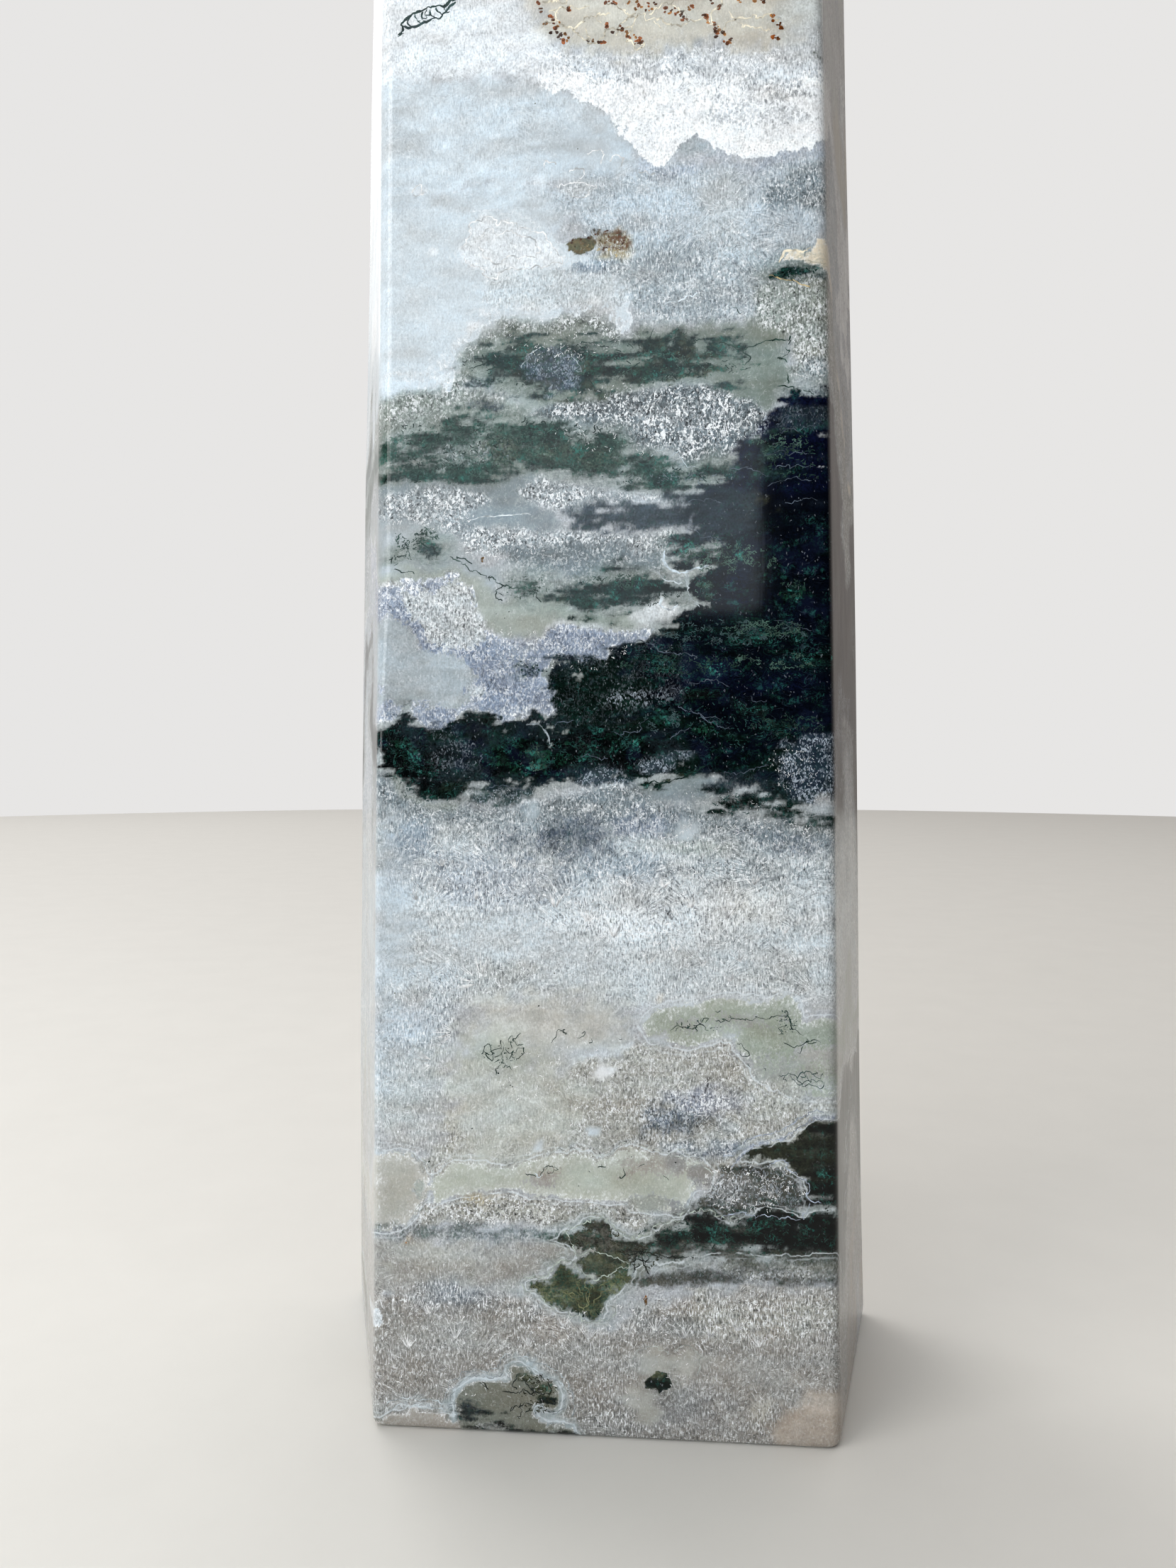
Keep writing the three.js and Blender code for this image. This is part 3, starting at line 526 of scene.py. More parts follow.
ell|moth|0.6|4.2|0.8|rim=0.6 frost=1|30.2 11.3 0|915,1696
line|sky|0.8|1.9|0.8||2.4|767,1631 793,1622 812,1618 830,1625 838,1631 857,1627 872,1616 892,1612 912,1618 933,1627 951,1620 972,1627 987,1631
line|sky|0.7|1.4|1||1.9|830,1627 836,1636
line|ice|0.8|1.9|0.8||2.4|972,1676 974,1693 966,1710 944,1714 915,1712 887,1705
poly|stone|0.88|6.6|1|glit=0.8 need=0.3 frost=0||594,1699 642,1688 717,1683 764,1691 830,1696 887,1702 915,1713 920,1728 896,1732 868,1723 830,1713 802,1728 764,1728 698,1723 642,1718 585,1732
ell|honey|0.6|8.5|1||28.3 6.6 0|670,1692
ell|parchment|0.5|11.3|1|glit=0.8|56.6 12.3 0|722,1709
poly+|fern|0.55|8.5|1|glit=0.6||528,1730 566,1735 604,1725 642,1721 698,1730 764,1728 802,1723 802,1742 764,1751 698,1752 604,1751 528,1749
ell|cream|0.9|2.8|1||6.1 6.1 0|573,1752
ell|sky|0.8|3.8|1||5.7 5.7 0|539,1760
ell|khaki|0.8|1.4|1||2.4 2.4 0|573,1753
poly+|cocoa|0.9|5.2|1.2|glit=0.6||976,1701 996,1680 1008,1653 1024,1642 1047,1636 1080,1639 1109,1642 1129,1660 1143,1679 1147,1698 1133,1720 1099,1714 1057,1710 1019,1720 996,1710
ell|flint|0.5|14.2|1|glit=1|33.0 20.8 0|1029,1676
poly+|bronze|0.95|4.2|1|moss=0.35 frost=0.12 glit=0 need=0 rim=1||1047,1632 1066,1622 1099,1614 1119,1612 1129,1596 1147,1585 1185,1584 1185,1718 1161,1710 1149,1699 1144,1678 1137,1662 1126,1657 1110,1639 1085,1636
poly+|pitch|0.9|12.7|1|moss=0.7 frost=0 glit=0 need=0||1151,1605 1165,1591 1185,1586 1185,1718 1161,1709 1147,1699 1147,1671 1161,1662 1154,1633
line|violet|0.75|2.4|0.8||2.4|1029,1644 1047,1630 1069,1612 1104,1607 1124,1594 1145,1579 1184,1576
line|ice|0.7|2.8|0.8||2.8|1019,1633 1043,1621 1066,1603 1099,1598 1119,1583 1142,1570 1184,1565
line|heather|0.6|5.7|1||4.7|991,1629 1019,1625 1043,1614
poly+|cocoa|0.93|5.7|1.2|moss=0.4 frost=0.25 glit=0 need=0 rim=1||776,1747 797,1737 811,1732 826,1724 849,1722 869,1741 892,1751 915,1748 925,1733 948,1724 972,1713 1000,1711 1029,1723 1058,1723 1072,1707 1096,1710 1129,1724 1151,1711 1185,1709 1185,1767 1132,1765 1085,1768 1047,1765 1010,1765 977,1771 953,1781 915,1776 897,1784 878,1777 849,1767 826,1769 811,1765 802,1753
poly+|pitch|0.95|9.9|1.2|moss=0.75 frost=0 glit=0 need=0||915,1751 926,1735 949,1726 972,1714 1000,1713 1029,1724 1058,1725 1072,1709 1096,1711 1129,1725 1151,1713 1185,1711 1185,1766 1132,1764 1085,1765 1047,1762 1010,1762 972,1765 944,1770 915,1765
line+|bronze|0.7|5.7|1|moss=0.6|6.6|887,1756 915,1758 944,1756
ell+|pitch|0.8|8.5|1|moss=0.6|51.9 10.4 0|1109,1756
ell+|forest|0.7|5.7|1||14.2 8.5 0|1080,1716
line+|bronze|0.7|3.8|1|moss=0.3|5.7|802,1753 807,1742 826,1738 845,1737
line|putty|0.75|1.9|1.2||2.4|783,1742 802,1730 823,1720 849,1717 871,1736 893,1747 913,1744 923,1730 947,1719 970,1707
line|dove|0.7|1.9|1||2.4|803,1749 802,1742 816,1765 830,1765 840,1764
line|flint|0.6|1.9|1||2.4|974,1711 1000,1708 1029,1720 1057,1720 1069,1706
poly|pewter|0.85|12.3|1|frost=0.4 need=0.3 glit=0.15||528,1750 604,1753 698,1754 774,1751 807,1765 783,1784 736,1803 717,1822 528,1822
poly+|cocoa|0.85|9.4|1|need=0.3 glit=0.35||896,1784 953,1784 1010,1770 1085,1770 1185,1770 1185,1813 1113,1822 1019,1813 925,1822 896,1808
line|parchment|0.6|6.6|1|glit=1|7.6|1014,1789 1047,1798 1080,1803 1128,1798 1175,1803
line+|olive|0.7|8.5|1||8.5|1057,1775 1113,1780 1180,1780
line|flint|0.5|7.6|1||5.7|1019,1817 1066,1822 1180,1817
ell+|tawny|0.95|1.4|1||5.2 4.7 0|911,1830
poly+|reed|0.92|2.4|1|frost=0.6 rim=1||809,1776 830,1767 859,1770 888,1778 893,1790 869,1792 850,1806 831,1799 816,1787
poly+|wort|0.94|3.5|1|moss=0.35 frost=0.4 glit=0 need=0 rim=1||777,1804 777,1791 793,1781 808,1787 827,1801 845,1809 863,1795 888,1790 895,1797 883,1810 864,1823 850,1841 850,1854 827,1858 808,1852 802,1845 783,1842 764,1828 742,1818 738,1811 755,1808
ell+|moss_olive|0.7|5.7|1||14.2 16.0 0|793,1803
ell+|olive|0.6|10.4|1|moss=0.4|23.6 18.9 0|830,1827
line|parchment|0.8|1.9|1||2.4|736,1803 755,1802 774,1801 776,1789 793,1778 810,1783 830,1797 845,1803
line|putty|0.7|1.4|1||1.9|849,1809 869,1797 891,1796
line|dove|0.7|2.4|1||2.8|735,1814 762,1832 783,1848 802,1850 811,1862 849,1869 868,1850 862,1841
ell|agedstone|0.7|5.7|1||14.2 11.3 0.2|906,1789
poly|taupe|0.85|14.2|1|need=0.9 glit=0.25 frost=0||528,1822 594,1813 698,1822 745,1831 793,1860 859,1879 906,1850 972,1827 1066,1822 1185,1827 1185,2086 528,2086
ell|putty|0.5|23.6|1|need=1|113.3 23.6 0|1043,1860
ell|fume|0.5|14.2|1|need=1|51.9 18.9 0|944,1869
ell|thistle|0.6|18.9|1|need=1|56.6 23.6 0|637,1836
ell|flint|0.6|11.3|1|need=1|28.3 17.0 0|736,1855
ell|flint|0.5|14.2|1|need=1|42.5 16.0 0|802,1907
ell|pewter|0.6|14.2|1|need=0.8|37.8 23.6 0|557,1869
poly|sky|0.8|1.9|1|||528,1841 537,1850 543,1872 528,1873
ell|agedstone|0.5|3.8|1||5.7 7.6 0|663,1796
ell|stone|0.6|18.9|1||61.3 17.0 0|609,1775
ell|pewter|0.5|18.9|1||42.5 23.6 0|1066,1850
poly|flint|0.6|23.6|1|need=0.6 glit=0.2||528,1837 698,1837 783,1898 925,1874 1066,1893 1189,1893 1194,2044 528,2044
ell|taupe|0.6|23.6|1|need=0.3|94.4 28.3 0.1|1029,1936
ell|fume|0.6|23.6|1|need=0.4|75.5 28.3 0|948,1992
ell|flint|0.45|18.9|1|need=0.9|56.6 23.6 0|868,2002
ell|pewter|0.5|23.6|1|need=0.6|66.1 28.3 0|660,1874
ell|dove|0.6|10.4|1|frost=1|17.9 20.8 0.5|972,1917
ell|dove|0.6|11.3|1|frost=1|29.3 20.8 0|922,1922
ell|dove|0.6|8.5|1|frost=1|26.4 18.9 0.3|901,1974
ell|stone|0.6|7.6|1|frost=1|18.9 17.0 0|911,1995
poly+|night_green|0.98|2.1|0.8|moss=0.4||909,1948 919,1939 930,1936 941,1933 945,1945 944,1959 931,1962 927,1966 922,1959 912,1956
poly|clay|0.8|14.2|1|frost=0.4||1128,1978 1161,1956 1190,1943 1194,1978 1194,2044 1090,2044 1080,2016 1104,1992
ell|oat|0.6|7.6|1|need=0.6|12.3 18.9 0.4|1071,1992
ell|chalk|0.9|2.8|1||6.6 14.2 0.3|1168,2025
ell|fleece|0.7|2.8|1||4.7 8.5 0|1156,2028
poly|dusk|0.85|5.7|0.8|frost=0.7||710,1936 715,1920 736,1918 764,1931 789,1943 802,1964 795,1988 783,1998 789,2006 811,2009 827,2035 642,2044 633,2002 628,1978 637,1955 660,1940 679,1935 703,1940
poly|agedstone|0.95|1.9|0.8|frost=0.8 rim=1||722,1926 732,1926 750,1940 784,1951 792,1969 786,1990 775,1990 764,1981 750,1980 755,1997 770,2011 789,2010 808,2016 815,2031 802,2044 660,2044 646,2003 639,1983 643,1965 657,1953 676,1945 699,1948 715,1951 715,1936
poly+|forest|0.94|4.2|1|moss=0.8||726,1932 746,1940 765,1954 784,1958 790,1977 785,1989 773,1984 759,1973 747,1960 735,1944
ell+|storm|0.8|10.4|1|moss=0.3|18.9 13.2 0|660,1988
poly+|char|0.88|8.5|1|moss=0.5||646,1997 689,1998 712,2011 718,2025 755,2023 793,2011 808,2017 815,2032 802,2044 660,2044 649,2011
ell|taupe|0.7|4.7|1||21.7 7.6 0.2|698,2018
ell|agedstone|0.6|2.8|1||7.6 3.8 0|783,2023
line|sky|0.8|2.4|0.8||2.8|640,2004 634,1983 640,1960 658,1946 679,1940 703,1945 710,1936 713,1922
line|sky|0.8|2.4|0.8||2.8|734,1920 760,1936 786,1946 798,1965 792,1990 781,1996
line|sky|0.8|2.4|0.8||2.8|755,1988 762,2004 783,2006 807,2010 821,2030
line|dusk|0.6|2.8|0.8||2.4|632,2007 626,1978 634,1950 660,1935 703,1936 706,1917 736,1909 783,1936 808,1964
poly|taupe|0.9|2.4|1|frost=0.8 rim=1||519,2016 529,2007 556,1993 585,1989 614,1993 643,2004 656,2018 712,2022 717,2035 519,2044
line|sky|0.7|2.4|1||2.8|524,2008 538,1996 561,1985 590,1982 618,1988 643,1998
line|dusk|0.5|2.8|1||2.4|528,1992 561,1974 594,1973 627,1981 646,1990
line+|reed|0.6|2.4|1|moss=0.4|3.8|524,2002 528,2011 542,2014
poly|sky|0.8|2.4|1|||525,1841 533,1846 543,1865 538,1872 528,1870
line|parchment|0.6|3.8|1||3.8|526,1936 531,1959 529,1988
ell+|heather|0.45|23.6|1|need=0.8 glit=0.5|80.2 26.4 0.12|764,1192
ell|milk|0.42|28.3|1|need=1 glit=0.35|136.9 39.6 0|939,1282
ell|dawn|0.36|26.4|1|need=1|94.4 37.8 0.1|689,1239
ell|thistle|0.42|21.7|1|need=0.9 glit=0.4|70.8 20.8 0|878,1223
ell|lead|0.42|21.7|1|need=0.9 glit=0.5|70.8 21.7 0|1071,1230
ell|porcelain|0.85|21.7|1|need=0.4|37.8 31.1 0|745,87
ell|sky|0.16|18.9|1|need=0.9 glit=0.1|155.7 16.0 0|925,101
ell|pearl|0.4|16.0|1|need=0.9|56.6 14.2 0.1|1085,118
line+|cocoa|0.55|12.3|1|frost=0.3|12.3|925,1775 972,1772 1019,1768 1085,1771 1180,1770
ell|moth|0.5|11.3|1||108.5 7.6 0|1080,1787
"""


def read_features():
    out = []
    for row in FEATURES.strip().splitlines():
        kind, col, a, soft, warp, ch, size, pts = row.split("|")
        out.append(dict(
            k=kind.strip("+"), body=kind.endswith("+"), col=PALETTE[col], a=float(a), soft=float(soft), warp=float(warp),
            ch={p.split("=")[0]: float(p.split("=")[1]) for p in ch.split()},
            size=[float(v) for v in size.split()],
            p=[tuple(float(v) for v in q.split(",")) for q in pts.split()]))
    return out


CHANNELS = ["moss", "glit", "need", "frost", "rust", "streak", "frill"]


def paint(X, Y):
    """The stone's layers at photograph pixels X, Y: pale stone, sharp-edged pale bodies, and dark moss-filled bodies."""
    n = X.shape
    wx = fbm(X / 34, Y / 26, 11, 4, 0.55) * 7.0 + fbm(X / 9, Y / 7, 12, 2) * 2.2
    wy = fbm(X / 34, Y / 26, 21, 4, 0.55) * 6.0 + fbm(X / 9, Y / 7, 22, 2) * 2.2
    rag = fbm(X / 22, Y / 15, 31, 4, 0.62)
    drawn = fbm(X / 48, Y / 8, 35, 4, 0.62)
    lobes = (cells(X / 21 + wx / 30, Y / 16, 5) - 0.42) * 8.0 + (cells(X / 9, Y / 8 + wy / 20, 6) - 0.42) * 3.4
    drift = fbm(X / 64, Y / 26, 41, 4, 0.6)
    patch = fbm(X / 26, Y / 10, 51, 4, 0.6)
    light = np.zeros(n + (3,))
    light[...] = (184, 188, 193)
    dark = np.zeros(n + (3,))
    dark[...] = (52, 66, 68)
    clear = np.zeros(n + (3,))
    clear[...] = (200, 206, 212)
    D, W, crisp = np.zeros(n), np.zeros(n), np.zeros(n)
    ch = {k: np.zeros(n) for k in CHANNELS}
    ch["need"] += 0.25
    ch["glit"] += 0.2
    rim = np.full(n, 1e3)
    for f in read_features():
        xs, ys = [p[0] for p in f["p"]], [p[1] for p in f["p"]]
        body = f["body"]
        R = f["soft"] * 1.6 + 40 + (max(f["size"][:2]) if f["k"] == "ell" else 0) + (f["size"][0] if f["k"] == "line" else 0)
        sel = (X > min(xs) - R) & (X < max(xs) + R) & (Y > min(ys) - R) & (Y < max(ys) + R)
        if not sel.any():
            continue
        x, y = X[sel] + wx[sel] * f["warp"], Y[sel] + wy[sel] * f["warp"]
        if f["k"] == "poly":
            d = d_poly(x, y, f["p"])
        elif f["k"] == "ell":
            d = d_ell(x, y, f["p"][0], f["size"])
        else:
            d = d_line(x, y, f["p"]) - f["size"][0] * 0.5
        small = min(1.0, max(0.15, min(max(xs) - min(xs), max(ys) - min(ys)) / 60.0)) if f["k"] == "poly" else 1.0
        d = d + lobes[sel] * f["warp"] * (1.0 if body else 0.55) * (0.45 if f["k"] == "line" else small)
        s = max(f["soft"] * 1.5, 2.0)
        dn = d + rag[sel] * s * 0.7
        if body and f["soft"] > 3.7 and f["k"] != "ell":
            s *= 1.7
            dn = d + rag[sel] * s * 0.5 + drawn[sel] * s * 1.3
        m = sst(s * 0.55, -s * 0.55, dn)
        mossy = f["ch"].get("moss", 0.0)
        thin = float(sst(24.0, 70.0, sum(f["col"]) / 3))
        if body and mossy > 0.25:
            # clear grey-green chalcedony round the moss, and gaps in the moss that show it
            halo = np.exp(-np.square(np.maximum(d, 0) / 17.0)) * f["a"] * 0.66 * min(1.0, mossy * 1.6) * (0.15 + 0.85 * thin)
            light[sel] = light[sel] * (1 - halo[:, None]) + np.array((128, 139, 133), float) * halo[:, None]
            for k in ("glit", "need"):
                ch[k][sel] = ch[k][sel] * (1 - halo * 0.8)
            ch["moss"][sel] = np.maximum(ch["moss"][sel], halo * 0.9)
            m = m * (1 - sst(0.05, 0.55, patch[sel]) * 0.55 * mossy * thin)
        ma = (m * f["a"])[:, None]
        col = np.array(f["col"], float)
        sharp = float(sst(7.0, 2.0, f["soft"]))
        if body:
            old = D[sel]
            new = 1 - (1 - old) * (1 - ma[:, 0])
            share = ma[:, 0] / np.maximum(new, 1e-6)
            dark[sel] = dark[sel] * (1 - share[:, None]) + col * share[:, None]
            D[sel] = new
            near = np.exp(-np.square(d / 22.0))
            crisp[sel] = crisp[sel] * (1 - near) + sharp * near
        elif f["soft"] < 5.0 and f["k"] == "poly":
            old = W[sel]
            new = 1 - (1 - old) * (1 - ma[:, 0])
            share = ma[:, 0] / np.maximum(new, 1e-6)
            clear[sel] = clear[sel] * (1 - share[:, None]) + col * share[:, None]
            W[sel] = new
            D[sel] = D[sel] * (1 - ma[:, 0])
        else:
            light[sel] = light[sel] * (1 - ma) + col * ma
            D[sel] = D[sel] * (1 - ma[:, 0])
            W[sel] = W[sel] * (1 - ma[:, 0])
        for k in CHANNELS:
            if k in f["ch"]:
                ch[k][sel] = ch[k][sel] * (1 - m) + f["ch"][k] * m
            elif k == "frill" and not body and f["k"] == "poly" and f["soft"] < 5.0:
                ch[k][sel] = np.maximum(ch[k][sel], np.exp(-np.square(d / 14.0)))
            elif k == "moss" and f["a"] > 0.8 and f["k"] == "poly":
                ch[k][sel] = ch[k][sel] * (1 - m)
            elif k in ("need", "glit") and f["ch"].get("frost", 0) > 0.3:
                ch[k][sel] = ch[k][sel] * (1 - m) + 0.06 * m
        if "rim" in f["ch"]:
            rim[sel] = np.minimum(rim[sel], d)
    cool = np.array([-1.0, 0.1, 1.0])
    light = light * (1 + 0.11 * drift + 0.08 * patch)[:, None] + cool * (drift * 5.0)[:, None]
    clear = clear * (1 + 0.07 * drift + 0.05 * patch)[:, None] + cool * (drift * 4.0)[:, None]
    dark = dark * (1 + 0.45 * patch)[:, None]
    return light, clear, dark, D, W, crisp, ch, rim


def linear(c):
    c = np.clip(np.asarray(c, float) / 255.0, 0, 1)
    return np.where(c <= 0.04045, c / 12.92, ((c + 0.055) / 1.055) ** 2.4)


# ------------------------------------------------------------------ the dense, finished mesh
FRONT_COLS, SIDE_COLS, BACK_COLS, ARC = 138, 20, 46, 4
COLS = FRONT_COLS + 2 * SIDE_COLS + BACK_COLS + 4 * ARC


def levels():
    """Heights of the rows. The part that the photograph shows is the finest."""
    z = [0.0, 0.15, 0.4, 0.9]
    z += list(np.arange(1.5, 166.0, 0.5))
    z += list(np.arange(166.0, 195.0, 1.0))
    z += [195.2, 195.7, 196.0]
    return np.array(z)


def ring(z):
    """One closed row of COLS points round the section at nominal height z."""
    level = min(z, SHOULDER)
    pts, kinds = [], []
    base = 180.0

    def height(i):  # the shoulder is a little off level from corner to corner
        return z if z <= base else base + (z - base) / (SHOULDER - base) * (SHOULDER + SKEW[i] - base)

    q3 = []
    for i in range(4):
        h = height(i)
        c = corners(h)[i].reshape(2)
        q3.append(np.array([c[0], c[1], h]))
    w = edge_widths(level)
    grow = [1.15, 1.6, 1.6, 1.6]
    arcs = []
    for i in range(4):
        b = q3[(i + 3) % 4] - q3[i]
        a = q3[(i + 1) % 4] - q3[i]
        b /= np.linalg.norm(b)
        a /= np.linalg.norm(a)
        k = grow[i]
        p0, p2 = q3[i] + b * w[i] * k, q3[i] + a * w[i] * k
        c = q3[i] + (a + b) * w[i] * (1 - k / 2)
        arcs.append([p0 * (1 - t) ** 2 + c * 2 * t * (1 - t) + p2 * t * t for t in np.linspace(0, 1, ARC + 1)])
    cols = [FRONT_COLS, SIDE_COLS, BACK_COLS, SIDE_COLS]
    for i in range(4):  # arc i, then the face from corner i to corner i + 1
        pts += arcs[i][:-1]
        p, r = arcs[i][-1], arcs[(i + 1) % 4][0]
        n = cols[i]
        pts += [p + (r - p) * (j / n) for j in range(n)]
    return np.array(pts)


def build_rings():
    zs = levels()
    rings = [ring(z) for z in zs]
    middle = cad_section(0.0).mean(0)
    for k, inset in enumerate([0.85, 0.5, 0.25, 0.07]):
        r = rings[k]
        v = middle - r[:, :2]
        r[:, :2] += np.sign(v) * inset * np.minimum(1, np.abs(v) / 4)
    for k, inset in ((-1, 0.10), (-2, 0.03)):
        r = rings[k]
        c = r[:, :2].mean(0)
        v = c - r[:, :2]
        r[:, :2] += v / np.linalg.norm(v, axis=1, keepdims=True) * inset
    top = rings[-1].copy()
    q = [c.reshape(2) for c in corners(SHOULDER)]
    apex = np.array([q[0][0] + (q[1][0] - q[0][0]) * APEX_ALONG, q[0][1] + (q[3][1] - q[0][1]) * APEX_BACK, SHOULDER + TIP])
    for t in list(np.array([0.3, 0.8, 1.6]) / TIP) + list(np.linspace(0.07, 1 - APEX_FLAT - 0.012, 30)):
        rings.append(top + (apex - top) * t)
    last = top + (apex - top) * (1 - APEX_FLAT)
    k = (SHOULDER + TIP - last[:, 2]) / np.maximum(apex[2] - top[:, 2], 1e-6)
    end = last.copy()
    end[:, :2] += (apex[:2] - last[:, :2]) * 0.25
    end[:, 2] = SHOULDER + TIP - 0.001
    rings.append(last)
    rings.append(end)
    return rings, apex


rings, apex = build_rings()
R, C = len(rings), COLS
P = np.array(rings)  # (R, C, 3) in stone millimetres

# Face coordinates for the painted fields: run round the section, and run up the surface.
step = np.linalg.norm(np.roll(P, -1, axis=1) - P, axis=2)
run = np.concatenate([np.zeros((R, 1)), np.cumsum(step, axis=1)[:, :-1]], axis=1)
around = step.sum(1, keepdims=True)
up = np.zeros((R, C))
up[0] = 0.0
for r in range(1, R):
    up[r] = up[r - 1] + np.linalg.norm(P[r] - P[r - 1], axis=1)
up += P[0, :, 2]
front_end = ARC + FRONT_COLS + ARC // 2
front_start = ARC // 2
right = P[:, front_end, 0][:, None]
left = P[:, front_start, 0][:, None]
behind = np.ones((R, C), bool)
behind[:, front_start:front_end + 1] = False
dist = run - run[:, front_end][:, None]
dist = np.where(dist < 0, dist + around, dist)
total = (around[:, 0] - (run[:, front_end] - run[:, front_start]))[:, None]
# The bands run through the stone like strata: each point takes the band that stands in front of it, and with depth the strata dip, shift and fold.
deep_in = np.clip((P[..., 1] - LEAN * np.minimum(P[..., 2], SHOULDER)) / DEPTH, 0, 1)
fold = sst(0.0, 0.35, deep_in)
mid_x = FRONT_WIDTH / 2
u = mid_x + (P[..., 0] - mid_x) * (1 - 0.5 * deep_in) + fold * fbm(dist / 15, up / 19, 61, 4, 0.55) * 26
u = np.clip(u, 0.8, FRONT_WIDTH - 3.0)
lift = P[..., 2] + 7.0 * deep_in + fold * fbm(dist / 19, up / 26, 71, 4, 0.5) * 30
PX, PY = to_pixel(u, LEAN * lift, lift)
over = PY < 0
PY = np.where(over, -PY * 0.62, PY)  # above the photograph's top edge the bands carry on in mirror order
high = sst(0, 12, P[..., 2] - 163.0)
PX = PX + high * fbm(P[..., 0] / 14, P[..., 2] / 12 + P[..., 1] / 14, 81, 3) * 90
PY = np.abs(PY + high * fbm(P[..., 0] / 18, P[..., 2] / 14 + P[..., 1] / 11, 91, 3) * 90)

light, clear, dark, D, W, crisp, ch, rim = paint(PX.ravel(), PY.ravel())


def settle(a, turns=2):
    """Evens out a painted field over the coarser mesh of the side and back faces."""
    f = a.reshape(R, C, -1)
    for _ in range(turns):
        near = (np.roll(f, 1, 1) + np.roll(f, -1, 1) + np.vstack([f[1:], f[-1:]]) + np.vstack([f[:1], f[:-1]])) / 4
        f = np.where(behind[..., None], f * 0.4 + near * 0.6, f)
    return f.reshape(a.shape)


light, clear, dark, D, W, crisp, rim = (settle(a) for a in (light, clear, dark, D, W, crisp, rim))
ch = {k: settle(v) for k, v in ch.items()}

verts = [to_frame(*p) for p in P.reshape(-1, 3)]
foot = cad_section(0.0).mean(0)
verts.append(to_frame(foot[0], foot[1], 0.0))
verts.append(to_frame(apex[0], apex[1], SHOULDER + TIP))
FOOT, TOP = R * C, R * C + 1

faces = []
for r in range(R - 1):
    a = r * C
    for c in range(C):
        d = (c + 1) % C
        faces.append((a + c, a + d, a + C + d, a + C + c))
for c in range(C):
    d = (c + 1) % C
    faces.append((FOOT, d, c))
    faces.append((TOP, (R - 1) * C + c, (R - 1) * C + d))

me = bpy.data.meshes.new("tower_stone")
me.from_pydata(verts, [], faces)
me.update()
stone = bpy.data.objects.new("tower_stone", me)
bpy.context.collection.objects.link(stone)
for p in me.polygons:
    p.use_smooth = True

# Texture layout: the show face takes nearly half of the sheet, the other three share the rest, the foot has its own corner.
share = [0.46, 0.125, 0.28, 0.125]
U = np.zeros(C + 1)
cols = [FRONT_COLS, SIDE_COLS, BACK_COLS, SIDE_COLS]
x, k = 0.004, 0
for i in range(4):
    n = ARC + cols[i]
    arc = share[i] * 0.02
    for j in range(n):
        U[k] = x
        x += arc / ARC if j < ARC else (share[i] - arc) / cols[i]
        k += 1
U[C] = x
V = np.zeros(R)
mean_up = up.mean(1)
V[:] = 0.075 + 0.92 * mean_up / mean_up.max()
layer = me.uv_layers.new(name="OFBake")
uvs = np.zeros((len(me.loops), 2))
i = 0
for r in range(R - 1):
    for c in range(C):
        uvs[i] = (U[c], V[r])
        uvs[i + 1] = (U[c + 1], V[r])
        uvs[i + 2] = (U[c + 1], V[r + 1])
        uvs[i + 3] = (U[c], V[r + 1])
        i += 4
ring0 = P[0]
fx = (ring0[:, 0] - ring0[:, 0].min()) / (ring0[:, 0].max() - ring0[:, 0].min()) * 0.14 + 0.01
fy = (ring0[:, 1] - ring0[:, 1].min()) / (ring0[:, 1].max() - ring0[:, 1].min()) * 0.06 + 0.005
ringN = P[-1]
gx = (ringN[:, 0] - ringN[:, 0].min()) * 0.004 + 0.2
gy = (ringN[:, 1] - ringN[:, 1].min()) * 0.004 + 0.01
for c in range(C):
    d = (c + 1) % C
    uvs[i] = (0.08, 0.035)
    uvs[i + 1] = (fx[d], fy[d])
    uvs[i + 2] = (fx[c], fy[c])
    uvs[i + 3] = (gx.mean(), gy.mean())
    uvs[i + 4] = (gx[c], gy[c])
    uvs[i + 5] = (gx[d], gy[d])
    i += 6
layer.data.foreach_set("uv", uvs.ravel())


def put(name, kind, data):
    at = me.attributes.new(name, kind, "POINT")
    n = len(me.vertices)
    if kind == "FLOAT":
        a = np.zeros(n)
        a[:len(data)] = data
        a[len(data):] = data[0] if len(data) else 0
        at.data.foreach_set("value", a)
    elif kind == "FLOAT_COLOR":
        a = np.ones((n, 4))
        a[:len(data), :3] = data
        a[len(data):, :3] = data.mean(0)
        at.data.foreach_set("color", a.ravel())
    else:
        a = np.zeros((n, 3))
        a[:len(data)] = data
        at.data.foreach_set("vector", a.ravel())


put("pale", "FLOAT_COLOR", linear(light))
put("deep", "FLOAT_COLOR", linear(dark))
put("clear", "FLOAT_COLOR", linear(clear))
put("masks", "FLOAT_VECTOR", np.stack([D, W, crisp], -1))
put("grow_a", "FLOAT_VECTOR", np.stack([ch["moss"], ch["glit"], ch["need"]], -1))
put("grow_b", "FLOAT_VECTOR", np.stack([ch["frost"], ch["rust"], ch["streak"]], -1))
put("frill", "FLOAT", ch["frill"])
put("rim", "FLOAT", np.clip(rim / 12.2, -20, 20))
# Mask of the side and back faces, fading in over 1.5 mm from the show face's edges: it sets their rougher finish, saw
# marks and pits, and a painted reflection film.
face_finish_and_painted_sheen = np.where(behind, np.clip(dist / 1.5, 0, 1) * np.clip((total - dist) / 1.5, 0, 1), 0.0)
put("side_finish_and_painted_sheen", "FLOAT", face_finish_and_painted_sheen.ravel())
sheet_s = np.where(behind, dist + (right - ORIGIN[0]), P[..., 0] - ORIGIN[0])
put("sheet", "FLOAT_VECTOR", np.stack([sheet_s.ravel(), up.ravel(), np.zeros(R * C)], -1))


